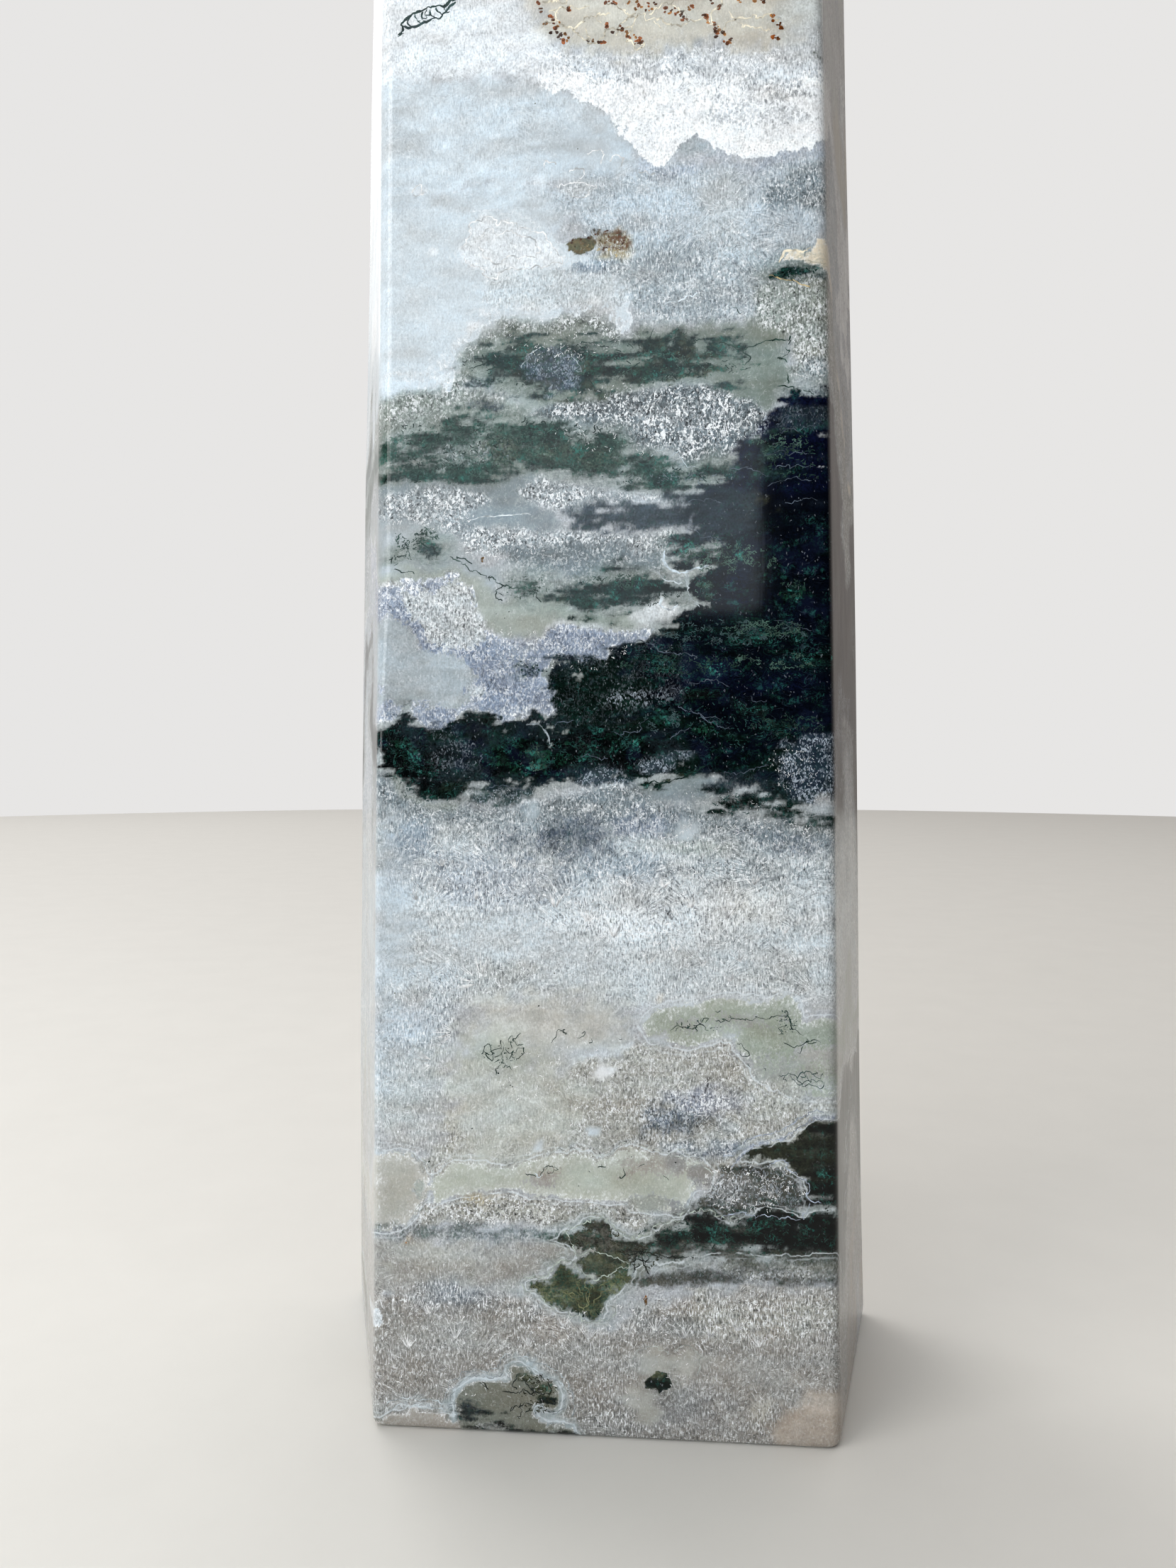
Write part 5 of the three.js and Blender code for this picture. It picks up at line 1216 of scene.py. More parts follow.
# ------------------------------------------------------------------ threads, tufts and specks of moss, crystal and rust
# They end at the polished surface, so each is a closed sliver let into the stone with its flat top a hair above it.
# Each line: shape, colour, width or radius (mm), wobble (mm) or count and lengths (mm) and angles (degrees), points in
# photograph pixels.
STRANDS = """
line|forest|0.272|0.9|550,56 561,49 570,46 567,34 571,27 584,21 601,13 618,9 632,6 642,-2
line|teal|0.224|0.9|571,37 579,38 587,37 601,29 616,26 626,21 637,9 643,3
line|teal|0.16|0.9|578,25 575,31 581,37
line|teal|0.16|0.9|587,20 585,28 594,35
line|teal|0.16|0.9|597,17 594,24 601,28
line|teal|0.16|0.9|606,12 608,20 613,26
line|teal|0.16|0.9|618,10 615,18 624,21
line|teal|0.16|0.9|628,8 626,14 633,17
line|teal|0.16|0.9|570,46 562,53
line|teal|0.16|0.9|590,21 592,14
line|teal|0.16|0.9|640,2 646,-3
line|teal|0.16|0.9|601,13 599,21 608,24
tuft|fern|0.07|10 1|601,29 630,37
line|cream|0.16|2.1|764,33 783,28 807,45 830,57 849,54 859,40 878,35 896,24 915,21 932,33 972,33 1000,28 1019,40
line|cream|0.16|2.1|783,28 788,14 802,9 830,14
line|cream|0.16|2.1|807,45 821,28 840,19 859,19
line|cream|0.16|2.1|830,57 826,38
line|cream|0.16|2.1|896,24 887,35 885,52 893,66 901,72 910,64 906,56
line|cream|0.16|2.1|915,21 925,9 944,7 955,14 972,17
line|cream|0.16|2.1|972,33 965,19
line|cream|0.16|2.1|1000,28 1007,9 1019,2
line|cream|0.16|2.1|1019,40 1033,28 1057,24 1085,19 1099,28
line|cream|0.16|2.1|859,5 878,12 896,24
line|cream|0.16|2.1|764,9 783,4 811,-2
line|cream|0.16|2.1|1043,33 1066,42 1085,40
line|cream|0.16|2.1|887,35 873,43 868,49
line|cream|0.128|2.1|788,14 774,21
line|cream|0.128|2.1|840,19 847,29
line|cream|0.128|2.1|944,7 948,-3
line|cream|0.128|2.1|1033,28 1029,17
line|cream|0.128|2.1|802,9 807,2
line|cream|0.128|2.1|925,28 934,42
speck|russet|0.374|0.5|760,5 778,24 783,40 795,57 802,14 852,59 856,38 878,40 901,57 887,52 859,2 868,5 901,7 915,9 939,12 953,21 965,26 977,8 996,24 1007,35 1012,47 1026,61 1014,12 1090,24 1092,50 1102,38
speck|sepia|0.308|0.5|764,12 781,29 788,52 778,47 785,45 791,49 830,59 845,60 863,45 900,61 903,59 911,14 925,6 948,14 962,19 960,23 1010,52 1009,43 1007,41 1019,45 1031,57 1003,1 1097,53 1100,35 1078,1 994,21
speck|tawny|0.264|0.5|771,33 797,47 786,37 802,53 837,58 873,42 885,47 897,53 887,4 899,2 920,13 944,19 957,17 972,11 998,28 1005,31 1015,42 1022,48 1029,59 1066,2 1043,1 1088,22 896,12 905,10 789,31
speck|reed|0.08|0.5|1034,182 911,190 815,210 939,156 755,146 972,127
speck|sepia|0.2|0.5|807,340 819,338 830,336 841,330 847,340 855,326 859,334 873,333 881,336 878,344 867,343 852,350
speck|honey|0.17|0.5|862,345 866,353 874,352 859,352 870,360 845,353 880,350
speck|khaki|0.16|0.5|811,348 823,350 830,346 804,353 802,344
tuft|forest|0.1|26 1.2|1118,385 1152,395
line|cream|0.24|0.9|1098,370 1109,355 1122,350 1132,358 1143,350 1161,336
line|honey|0.13|0.9|1085,389 1113,394 1142,405 1166,408
line|forest|0.096|0.9|1085,393 1091,388 1096,391 1109,383
line|sky|0.13|0.9|937,430 946,427 954,425 965,420 974,418 984,414
line|mist|0.1|0.45|665,734 676,730 689,728 703,728 717,727 736,724 750,725
line|pine|0.112|1.5|1014,481 1033,489 1047,496 1066,486 1085,479 1109,480 1116,472
line|pine|0.112|1.5|1024,472 1036,481 1043,493
line|pine|0.112|1.5|1047,496 1057,504 1052,512
line|pine|0.112|1.5|1106,491 1114,498 1099,508
line|pine|0.112|1.5|1113,474 1112,488
line|pine|0.112|1.5|1033,436 1043,441 1044,447
line|pine|0.112|1.5|1096,504 1105,507 1109,514
line|pine|0.112|1.5|1132,550 1151,555 1166,561
line|pine|0.112|1.5|1099,546 1113,545 1119,551
line|pine|0.112|1.5|1109,531 1116,539
line|forest|0.104|1.5|663,522 676,515 691,510 703,502
line|forest|0.104|1.5|727,493 738,481 750,477
line|forest|0.104|1.5|686,522 703,518 722,522
line|forest|0.104|1.5|811,489 826,481 840,485
line|forest|0.104|1.5|802,504 815,493 830,491
line|forest|0.104|1.5|915,477 934,481 953,477 972,484 991,481
line|forest|0.104|1.5|920,465 915,474 921,482
tuft|forest|0.09|150 2.2|859,514 1047,536
tuft|fern|0.075|150 1.6|915,514 1057,531
tuft|forest|0.09|50 2|712,522 755,545
tuft|forest|0.09|130 2.2|703,616 854,637
tuft|fern|0.07|70 1.6|793,623 896,637
tuft|forest|0.09|90 2.2|618,663 698,679
tuft|fern|0.07|50 1.6|594,621 651,632
tuft|teal|0.09|110 2.2|948,673 1043,683
tuft|iron|0.07|70 1.4|972,675 1029,682
tuft|fern|0.075|120 1.6|1095,625 1128,642
tuft|pine|0.08|90 1.8|1128,649 1170,677
tuft|pine|0.08|80 1.4|601,765 618,782
tuft|pine|0.08|50 1.4|557,776 577,795
tuft|fern|0.07|100 1.4|1010,781 1062,793
line|slate|0.08|1.5|1095,597 1113,588 1137,584 1166,590
line|slate|0.08|1.5|1099,611 1123,602 1151,604 1167,607
line|slate|0.08|1.5|1090,663 1118,655 1147,658 1167,655
line|slate|0.08|1.5|1085,682 1113,676 1142,678 1167,682
line|slate|0.08|1.5|1080,644 1095,637 1113,642 1137,639
line|slate|0.08|1.5|1024,663 1043,658 1066,663 1085,669
line|slate|0.08|1.5|1109,710 1128,703 1151,706
line|slate|0.08|1.5|972,710 991,706 1019,708
line|slate|0.08|1.5|967,743 991,758 1019,760
line|dusk|0.08|1.5|920,642 929,635 948,631 959,637 948,643
line|dusk|0.08|1.5|958,644 967,658 981,656
line|dusk|0.08|1.5|802,498 815,510 824,518 811,522
line|dusk|0.08|1.5|736,517 745,504 757,493
line|pine|0.128|1.5|634,786 646,792 660,802 675,809 689,814 708,826 722,829 745,831
line|forest|0.104|1.5|708,826 703,836 698,845 703,850 708,846
line|forest|0.104|1.5|703,836 710,839
line|forest|0.104|1.5|557,802 564,810 571,811 578,807 587,806
line|forest|0.104|1.5|642,784 656,791 665,794
line|forest|0.104|1.5|689,814 693,821
line|forest|0.104|1.5|542,779 552,784 556,793
line|forest|0.104|1.5|538,788 547,785 561,786 571,783
line|forest|0.104|1.5|811,845 817,849 826,848
line|forest|0.104|1.5|745,831 757,840 762,850
line|forest|0.104|1.5|826,851 825,859
line|forest|0.104|1.5|571,769 576,784 580,790
line|forest|0.104|1.5|594,769 611,774 615,785
tuft|pine|0.08|68 1.4|745,829 774,843
tuft|pine|0.08|80 1.8|878,821 929,830
tuft|forest|0.08|60 1.6|887,840 958,852
tuft|fern|0.08|221 1.4|1029,788 1090,805
tuft|fern|0.08|102 1.2|994,830 1006,844
tuft|teal_grey|0.08|289 1.6|1043,892 1147,906
tuft|fern|0.075|119 1.4|1080,886 1132,895
tuft|pine|0.08|150 1.6|962,937 1043,948
tuft|fern|0.075|153 1.4|1099,932 1161,941
tuft|teal_grey|0.08|102 1.3|934,1015 958,1031
tuft|teal|0.08|120 1.6|1033,1024 1095,1053
tuft|pine|0.08|100 1.4|1113,1022 1165,1033
tuft|teal|0.08|130 1.6|576,1067 623,1100
tuft|forest|0.08|110 1.6|712,1067 755,1090
tuft|fern|0.075|85 1.2|757,1067 773,1084
tuft|teal|0.08|130 1.6|845,1057 915,1080
tuft|teal|0.08|70 1.4|613,1116 656,1128
tuft|teal|0.08|90 1.4|1062,1133 1113,1145
tuft|teal|0.08|40 1.4|830,972 845,1001
tuft|pine|0.08|40 1.2|1118,831 1137,842
line|forest|0.16|1.2|906,1108 927,1104 948,1101 972,1093 995,1083
speck|bark|0.22|0.5|680,790 682,787
speck|forest|0.13|0.5|731,938 735,933 740,936 744,941 747,937 752,942 755,948 748,949 742,947 736,945 745,932 758,939 738,953 751,953 760,945
speck|night_green|0.09|0.5|700,866 712,872 718,863
speck|ink|0.12|0.5|784,926 789,922 783,934 777,938 771,947 778,945 789,931 795,926 774,953 807,926 814,930 821,935 802,922
line|slate|0.08|1.5|811,1068 826,1064 845,1067 859,1074
line|slate|0.08|1.5|689,1112 708,1108 727,1112 745,1110
line|slate|0.08|1.5|944,1043 953,1034 972,1029
line|slate|0.08|1.5|868,1034 887,1036 901,1029 911,1015
line|slate|0.08|1.5|783,1024 793,1017 807,1019
line|slate|0.08|1.5|1019,1090 1043,1093 1066,1086 1085,1076
line|slate|0.08|1.5|953,996 972,1005 1000,1010 1019,1017
line|slate|0.08|1.5|901,902 925,916 953,919 981,925
line|slate|0.08|1.5|1057,982 1076,991 1085,987
line|slate|0.08|1.5|972,963 1000,958 1029,968
line|slate|0.08|1.5|1095,878 1118,881 1147,887 1165,897
line|slate|0.08|1.5|986,1005 1010,1024 1029,1029
line|slate|0.08|1.5|679,1086 676,1071 682,1062
line|steel|0.15|0.6|742,1023 750,1021 759,1021 767,1028 773,1037 776,1052
line|sky|0.17|1.2|927,850 937,843 932,851 933,857 942,860 951,860 957,854
line|ice|0.21|0.9|938,774 935,784 936,792 944,802 954,807 965,807 977,805 991,799 999,800
line|ash|0.12|1.2|965,807 971,813 969,821 969,836 975,846 986,854
line|ash|0.13|1.8|929,806 932,813 940,819 951,818 965,822
line|forest|0.078|1.8|679,1487 682,1476 689,1473 694,1481 698,1492 691,1495 686,1490
line|forest|0.078|1.8|694,1481 702,1478 708,1473 706,1468
line|forest|0.078|1.8|698,1492 708,1488 713,1481 711,1473
line|forest|0.078|1.8|715,1470 717,1464 724,1462 734,1461
line|forest|0.078|1.8|724,1462 722,1469 728,1473 736,1472
line|forest|0.078|1.8|713,1481 722,1485 729,1481 736,1474 738,1481 735,1490 727,1495
line|forest|0.078|1.8|708,1488 711,1496 708,1504 702,1509 699,1516
line|forest|0.078|1.8|708,1504 716,1502 721,1507 724,1513
line|forest|0.078|1.8|686,1490 681,1495
line|forest|0.078|1.8|722,1485 721,1492
line|forest|0.078|1.8|718,1470 721,1478
line|forest|0.078|1.8|683,1482 691,1485
line|forest|0.078|1.8|703,1495 695,1498
tuft|forest|0.07|30 1|710,1482 735,1498
line|forest|0.078|1.8|776,1468 782,1462 789,1453 794,1457 802,1461 797,1452 789,1453
line|forest|0.078|1.8|815,1462 822,1460 826,1455 821,1456
line|forest|0.078|1.8|829,1468 835,1470 833,1466
line|forest|0.078|1.8|870,1465 876,1464
line|forest|0.078|1.8|948,1455 952,1448 959,1445 956,1453 948,1455
line|forest|0.078|1.8|959,1445 967,1448 976,1450 982,1448 988,1440 996,1434 999,1439 994,1442
line|forest|0.078|1.8|976,1450 979,1442 983,1450 982,1457
line|forest|0.078|1.8|988,1442 996,1452 1001,1455
line|forest|0.078|1.8|1008,1425 1015,1427
line|forest|0.078|1.8|1010,1442 1019,1443 1027,1437 1033,1440 1029,1433
line|forest|0.078|1.8|1027,1437 1036,1439 1052,1440 1066,1438 1085,1435 1104,1434 1110,1427 1106,1425
line|forest|0.078|1.8|1110,1427 1113,1442 1119,1451 1130,1458
line|forest|0.078|1.8|1113,1435 1118,1443 1116,1449
line|forest|0.078|1.8|1097,1459 1102,1451 1109,1451
line|forest|0.078|1.8|1109,1473 1121,1474 1132,1476 1137,1469 1147,1467 1157,1470 1168,1468
line|forest|0.078|1.8|1132,1476 1124,1484
line|forest|0.078|1.8|1137,1466 1142,1472 1151,1469
line|forest|0.078|1.8|1163,1437 1172,1438 1180,1435
line|forest|0.078|1.8|1038,1474 1044,1476 1053,1477 1056,1484 1051,1491 1048,1484
line|forest|0.078|1.8|1056,1501 1059,1506
line|forest|0.078|1.8|1076,1506 1078,1510
tuft|teal|0.07|30 1|981,1447 1014,1456
tuft|teal|0.07|26 1|1109,1442 1123,1456
line|teal|0.078|1.8|1099,1518 1109,1520 1116,1514 1124,1519 1132,1513 1138,1517 1147,1513 1157,1516
line|teal|0.078|1.8|1116,1514 1113,1523 1123,1528 1132,1524 1141,1528 1151,1523 1159,1527 1164,1523
line|teal|0.078|1.8|1124,1519 1128,1530 1137,1535 1147,1530 1157,1535 1163,1531
line|teal|0.078|1.8|1138,1517 1142,1525
line|teal|0.078|1.8|1147,1513 1153,1523
line|teal|0.078|1.8|1132,1513 1131,1523
line|teal|0.078|1.8|1169,1521 1172,1514 1176,1511 1175,1518 1179,1520
line|teal|0.078|1.8|1106,1518 1110,1527
line|teal|0.078|1.8|1159,1516 1160,1524
speck|night_green|0.13|0.5|760,1419 720,1531 723,1533 621,1381 651,1457 703,1514
speck|moss_olive|0.1|0.5|557,1401 782,1373 859,1206 1118,1343
line|forest|0.088|1.5|743,1657 750,1657 757,1659
line|forest|0.088|1.5|764,1658 768,1650 771,1647 778,1646 786,1644 784,1649 778,1654 771,1653
line|forest|0.088|1.5|771,1647 774,1642
line|forest|0.088|1.5|847,1646 855,1648
line|forest|0.088|1.5|871,1663 878,1661 883,1656 880,1650
line|forest|0.088|1.5|849,1644 847,1648
line|forest|0.088|1.5|901,1646 909,1645
line|forest|0.088|1.5|828,1653 832,1654
line|forest|0.088|1.5|934,1660 944,1662
line|milk|0.136|1.8|652,350 663,330 666,315 676,308 693,307 707,318 722,311 735,319 745,326 764,330 773,338 783,347 794,367 778,373 764,378 750,376 729,380 713,378 701,394 688,393 679,380 670,378 660,374 654,362
line|milk|0.136|1.8|676,330 689,326 703,330 715,326 732,334 750,338 762,349 755,361 736,363 722,361 708,368 693,370 685,359 676,353
line|milk|0.136|1.8|576,269 590,262 602,270 594,277 581,278
line|milk|0.136|1.8|783,264 802,259 826,257 845,264 830,276 807,280
line|milk|0.136|1.8|830,222 838,211 850,213 854,225 845,231
line|milk|0.136|1.8|859,226 873,218 883,227 874,236
line|milk|0.136|1.8|802,245 815,236 828,242 819,252
line|milk|0.136|1.8|901,245 915,240 925,246
line|milk|0.136|1.8|764,236 776,229 786,236
line|sky|0.1|0.9|754,1655 761,1661 767,1656
speck|night_green|0.1|0.5|606,1638 605,1639 816,1673 830,1653 891,1632 953,1640 666,1592
speck|tawny|0.15|0.5|573,1753 911,1829 909,1831
speck|milk|0.28|0.5|572,1749 540,1759
line|char|0.104|1.8|899,1765 896,1777 894,1794
line|char|0.104|1.8|905,1765 907,1780 914,1796
line|char|0.104|1.8|911,1768 913,1779 909,1790
line|char|0.104|1.8|892,1777 904,1779 917,1777
line|char|0.104|1.8|901,1784 897,1795
line|char|0.104|1.8|878,1765 892,1770 906,1767 925,1775
line|char|0.104|1.8|925,1770 948,1777 972,1775
line|char|0.104|1.8|953,1777 955,1782
line|char|0.104|1.8|974,1770 978,1780
line|char|0.104|1.8|887,1763 901,1770 915,1765
tuft|bronze|0.09|50 1.6|896,1772 934,1787
tuft|forest|0.09|160 1.8|1043,1742 1175,1758
tuft|pine|0.07|80 1.4|1029,1739 1151,1752
tuft|bronze|0.09|60 1.4|840,1747 873,1763
tuft|char|0.09|60 1.6|1165,1662 1182,1713
line|wort|0.088|1.8|811,1809 817,1822 823,1837
line|wort|0.088|1.8|836,1813 832,1828 830,1842
line|wort|0.088|1.8|849,1822 841,1835 836,1846
line|wort|0.088|1.8|802,1827 813,1835 823,1846
line|wort|0.088|1.8|826,1803 828,1822 826,1846
line|wort|0.088|1.8|793,1822 807,1828 821,1827
line|wort|0.088|1.8|830,1808 840,1818
line|wort|0.088|1.8|873,1803 863,1814 850,1822
line|wort|0.088|1.8|750,1814 759,1819 764,1822
line|wort|0.088|1.8|764,1822 778,1828
line|wort|0.088|1.8|855,1808 848,1818
line|wort|0.088|1.8|819,1803 812,1816
line|night_green|0.136|0.75|815,1848 817,1856
line|night_green|0.136|0.75|823,1850 822,1858
line|night_green|0.136|0.75|832,1848 831,1857
line|night_green|0.136|0.75|841,1848 845,1855
line|night_green|0.136|0.75|808,1846 806,1851
line|night_green|0.136|0.75|848,1846 850,1850
speck|bronze|0.13|0.5|876,1803 866,1809 855,1814 753,1816 759,1818 802,1798 796,1791
line|celadon|0.1|1.8|736,1803 744,1802 755,1801 767,1803 774,1801 776,1793 779,1787 793,1779 802,1782 810,1784 821,1793 830,1798 840,1806 845,1809 850,1805 858,1798 869,1791 880,1789 891,1790
line|celadon|0.1|1.8|735,1814 745,1822 762,1830 774,1837 783,1845 793,1845 799,1846 805,1852 808,1858 817,1862 830,1865 849,1863 860,1858 868,1850 862,1841
line|celadon|0.1|1.8|803,1749 801,1743 807,1732 819,1728 826,1721 836,1718 850,1718 859,1725 869,1736 882,1740 893,1747 906,1746 913,1744 920,1736 923,1730 935,1728 947,1721 959,1720 967,1711 974,1710 986,1709 1000,1707 1010,1711 1019,1717 1029,1720 1043,1719
line|celadon|0.1|1.8|803,1749 807,1756 811,1765 817,1770 826,1765 834,1764 845,1767 854,1770 867,1775 878,1778 887,1781 890,1790
line|haze|0.08|1.5|767,1631 778,1626 793,1622 802,1625 812,1618 823,1620 830,1626 835,1635 842,1629 857,1627 864,1620 872,1616 883,1612 893,1612 904,1617 912,1618 923,1621 933,1627 942,1629 945,1624 953,1620 964,1621 972,1628 974,1636 981,1638 987,1632
line|haze|0.08|1.5|972,1662 978,1670 972,1677 975,1685 974,1694 968,1708 960,1713 948,1713 939,1707 927,1710 915,1712 901,1708 887,1705 880,1697
line|haze|0.08|1.5|942,1638 945,1631 954,1629 964,1631 969,1639
line|haze|0.08|1.5|974,1644 981,1641 992,1644 1001,1650 1006,1658 1002,1669
line|haze|0.08|1.5|528,1625 542,1622 557,1624 571,1627 583,1629 594,1637 607,1647 611,1662 609,1676
line|haze|0.08|1.5|609,1685 601,1697 590,1709 580,1722 571,1732
line|haze|0.08|1.5|607,1681 597,1694 587,1708
line|haze|0.08|1.5|583,1676 586,1664 594,1663 599,1670 596,1680 589,1682 583,1676
line|haze|0.08|1.5|944,1700 946,1692 956,1689 965,1693 969,1701 964,1710
line|lilac|0.1|1.8|1019,1633 1033,1627 1043,1621 1055,1614 1066,1603 1083,1599 1099,1598 1109,1591 1119,1583 1130,1576 1142,1570 1161,1567 1184,1565
line|lilac|0.1|1.8|1029,1644 1041,1638 1047,1630 1057,1622 1069,1612 1085,1610 1104,1607 1115,1598 1124,1591 1134,1583 1145,1579 1165,1577 1184,1576
line|lilac|0.1|1.8|1081,1644 1096,1639 1109,1644 1113,1652 1128,1662 1138,1666 1141,1676 1137,1685 1147,1696 1156,1699
line|lilac|0.1|1.8|1133,1720 1136,1709 1142,1701
line|lilac|0.1|1.8|1019,1720 1033,1714 1047,1713 1066,1715 1085,1713 1109,1718 1128,1721
line|char|0.104|1.8|675,1949 680,1953 685,1958
line|char|0.104|1.8|680,1953 689,1960
line|char|0.104|1.8|708,1963 722,1962 736,1962 755,1964
line|char|0.104|1.8|729,1936 727,1950 725,1961
line|char|0.104|1.8|719,1988 727,1983 734,1982 742,1981 750,1984
line|char|0.104|1.8|734,1982 736,1992 731,2000
line|char|0.104|1.8|750,1984 745,1991 739,1995
line|char|0.104|1.8|725,1986 722,1991
line|char|0.104|1.8|755,1964 764,1969 774,1967
line|char|0.104|1.8|759,1955 762,1965 764,1976
line|char|0.104|1.8|774,1950 776,1961 773,1973
line|char|0.104|1.8|736,1942 745,1953 753,1963
tuft|bronze|0.09|90 1.4|760,1964 783,1988
tuft|char|0.09|60 1.6|708,2016 760,2026
line|moss_olive|0.104|1.2|557,2011 566,2010 571,2008 576,2012 583,2010 594,2011 613,2011 614,2015
line|moss_olive|0.104|1.2|571,2008 569,2013
line|moss_olive|0.104|1.2|531,2010 540,2013 549,2012
line|moss_olive|0.104|1.2|583,2010 584,2014
line|moss_olive|0.104|1.2|601,2010 601,2014
line|ash|0.11|1.5|640,2004 635,1993 634,1983 636,1971 642,1960 650,1951 658,1945 668,1942 679,1940 691,1943 703,1944 710,1936 711,1928 715,1923 727,1922 736,1923 750,1931 762,1938 778,1940 789,1948 797,1961 800,1969 795,1983 791,1991 781,1996 778,1990 767,1984 758,1983 754,1990 759,2000 767,2007 783,2008 802,2012 813,2021 822,2031
line|ash|0.11|1.5|524,2008 531,2001 538,1996 549,1991 561,1985 576,1983 590,1982 606,1986 618,1988 632,1993 643,1998
line|ash|0.11|1.5|528,1993 545,1983 561,1974 580,1973 594,1973 613,1977 627,1981 640,1986
line|silver|0.08|1.8|631,2009 625,1992 624,1978 628,1961 640,1946 656,1936 675,1932 700,1934 703,1922 708,1915 727,1911 745,1915 769,1927 788,1937 807,1959 811,1978 806,1996
line|haze|0.07|1.5|895,1922 897,1907 911,1899 925,1901 939,1904 948,1912
line|haze|0.07|1.5|952,1907 960,1898 972,1898 983,1907 991,1922 988,1934 979,1940
tuft|snow|0.055|260 1.5|946,1282 1088,1329
tuft|snow|0.05|200 1.3|1057,1192 1170,1225
tuft|snow|0.05|160 1.3|698,1220 821,1263
tuft|snow|0.05|160 1.3|830,1532 944,1584
tuft|snow|0.05|160 1.3|972,1541 1076,1584
tuft|snow|0.06|220 1.2|1062,1676 1132,1704
tuft|snow|0.05|160 1.4|679,1709 774,1723
tuft|snow|0.05|220 1.5|996,1860 1175,1888
tuft|snow|0.05|160 1.5|642,1860 755,1893
tuft|snow|0.05|200 1.1|925,592 1066,635
tuft|snow|0.05|120 1.1|594,725 665,743
tuft|snow|0.05|120 1.1|793,772 925,791
tuft|snow|0.05|120 1.1|764,479 868,503
tuft|snow|0.05|119 1|764,916 882,944
tuft|snow|0.04|102 0.8|1118,1081 1151,1109
tuft|snow|0.04|153 0.8|830,1138 1066,1161
tuft|snow|0.05|200 1.5|830,1936 1095,1969
fan|snow|0.06|26 1.2 4.2 55 200|679,1387
fan|snow|0.06|16 0.8 3.2 140 225|642,1456 613,1499
fan|snow|0.07|15 0.3 2.4 45 135|866,1324 830,1302 974,1283 1025,1299 1087,1283 1063,1251 936,1255 783,1282
fan|snow|0.06|12 0.3 2 50 130|727,1227 623,1225 587,1272 1106,1319 1043,1359 991,1365 915,1362 951,1346 1104,1384 1029,1387 887,1253 670,1272
fan|snow|0.07|14 0.3 2.3 50 130|887,1886 925,1880 964,1891 1002,1889 1040,1880 1070,1903 830,1891 794,1874 642,1891 604,1856 576,1903 745,1901
"""

FACE_OUT = np.array([0.0, -1.0, LEAN]) / math.hypot(1.0, LEAN)
PROUD, SUNK = 0.010, 0.06
rnd = np.random.default_rng(20)


def face_point(px, py):
    """A photograph pixel as a point on the show face (stone mm), or None off the face."""
    a, d, h = on_face(px, py)
    if not 1.8 < h < 193.0:
        return None
    if a < rows(FL_IN, h) + 1.3 or a > FRONT_WIDTH - rows(FR_IN, h) - 1.1:
        return None
    return np.array([a, d, h])


def smooth_path(pts, gap=0.16):
    """Points along a rounded polyline, about gap millimetres apart."""
    q = np.array(pts)
    for _ in range(2):
        if len(q) < 3:
            break
        a, b = q[:-1] * 0.75 + q[1:] * 0.25, q[:-1] * 0.25 + q[1:] * 0.75
        q = np.vstack([q[:1], np.stack([a, b], 1).reshape(-1, 3), q[-1:]])
    seg = np.linalg.norm(np.diff(q, axis=0), axis=1)
    s = np.concatenate([[0], np.cumsum(seg)])
    n = max(2, int(s[-1] / gap) + 1)
    t = np.linspace(0, s[-1], n)
    return np.stack([np.interp(t, s, q[:, k]) for k in range(3)], 1), t


def sliver(store, path, half, out):
    """A closed flat-topped prism along a path: half is its half width at every point."""
    n = len(path)
    tan = np.gradient(path, axis=0)
    side = np.cross(out, tan)
    side /= np.maximum(np.linalg.norm(side, axis=1, keepdims=True), 1e-9)
    base = len(store["v"])
    for k in range(n):
        s = side[k] * half[k]
        for p in (path[k] - s + out * PROUD, path[k] + s + out * PROUD, path[k] + s * 0.5 - out * SUNK, path[k] - s * 0.5 - out * SUNK):
            store["v"].append(to_frame(*p))
    for k in range(n - 1):
        a = base + k * 4
        for j in range(4):
            m = (j + 1) % 4
            store["f"].append((a + j, a + 4 + j, a + 4 + m, a + m))
    store["f"].append((base, base + 1, base + 2, base + 3))
    e = base + (n - 1) * 4
    store["f"].append((e + 3, e + 2, e + 1, e))


def blot(store, centre, radius, out, m=11):
    """A closed, uneven little disc."""
    a = np.array([1.0, 0.0, 0.0])
    b = np.cross(out, a)
    b /= np.linalg.norm(b)
    base = len(store["v"])
    turn, flat = rnd.uniform(0, 6.28), rnd.uniform(0.65, 1.0)
    for h, grow in ((PROUD, 1.0), (-SUNK, 0.7)):
        for k in range(m):
            t = turn + k * 2 * math.pi / m
            r = radius * grow * (0.88 + 0.12 * math.sin(2 * t + 3 * turn) + 0.08 * math.sin(5 * t + turn))
            store["v"].append(to_frame(*(centre + a * (r * math.cos(t)) + b * (r * flat * math.sin(t)) + out * h)))
    store["f"].append(tuple(range(base, base + m)))
    store["f"].append(tuple(range(base + 2 * m - 1, base + m - 1, -1)))
    for k in range(m):
        j = (k + 1) % m
        store["f"].append((base + k, base + m + k, base + m + j, base + j))


def wander(path, t, amount, seed):
    """Pushes a path about in the plane of the face."""
    d = path.copy()
    d[:, 0] += fbm(t / 0.7, t * 0 + seed, 7, 4, 0.62) * amount
    d[:, 2] += fbm(t / 0.7, t * 0 + seed + 50, 8, 4, 0.62) * amount
    d[:, 1] = LEAN * d[:, 2]
    return d


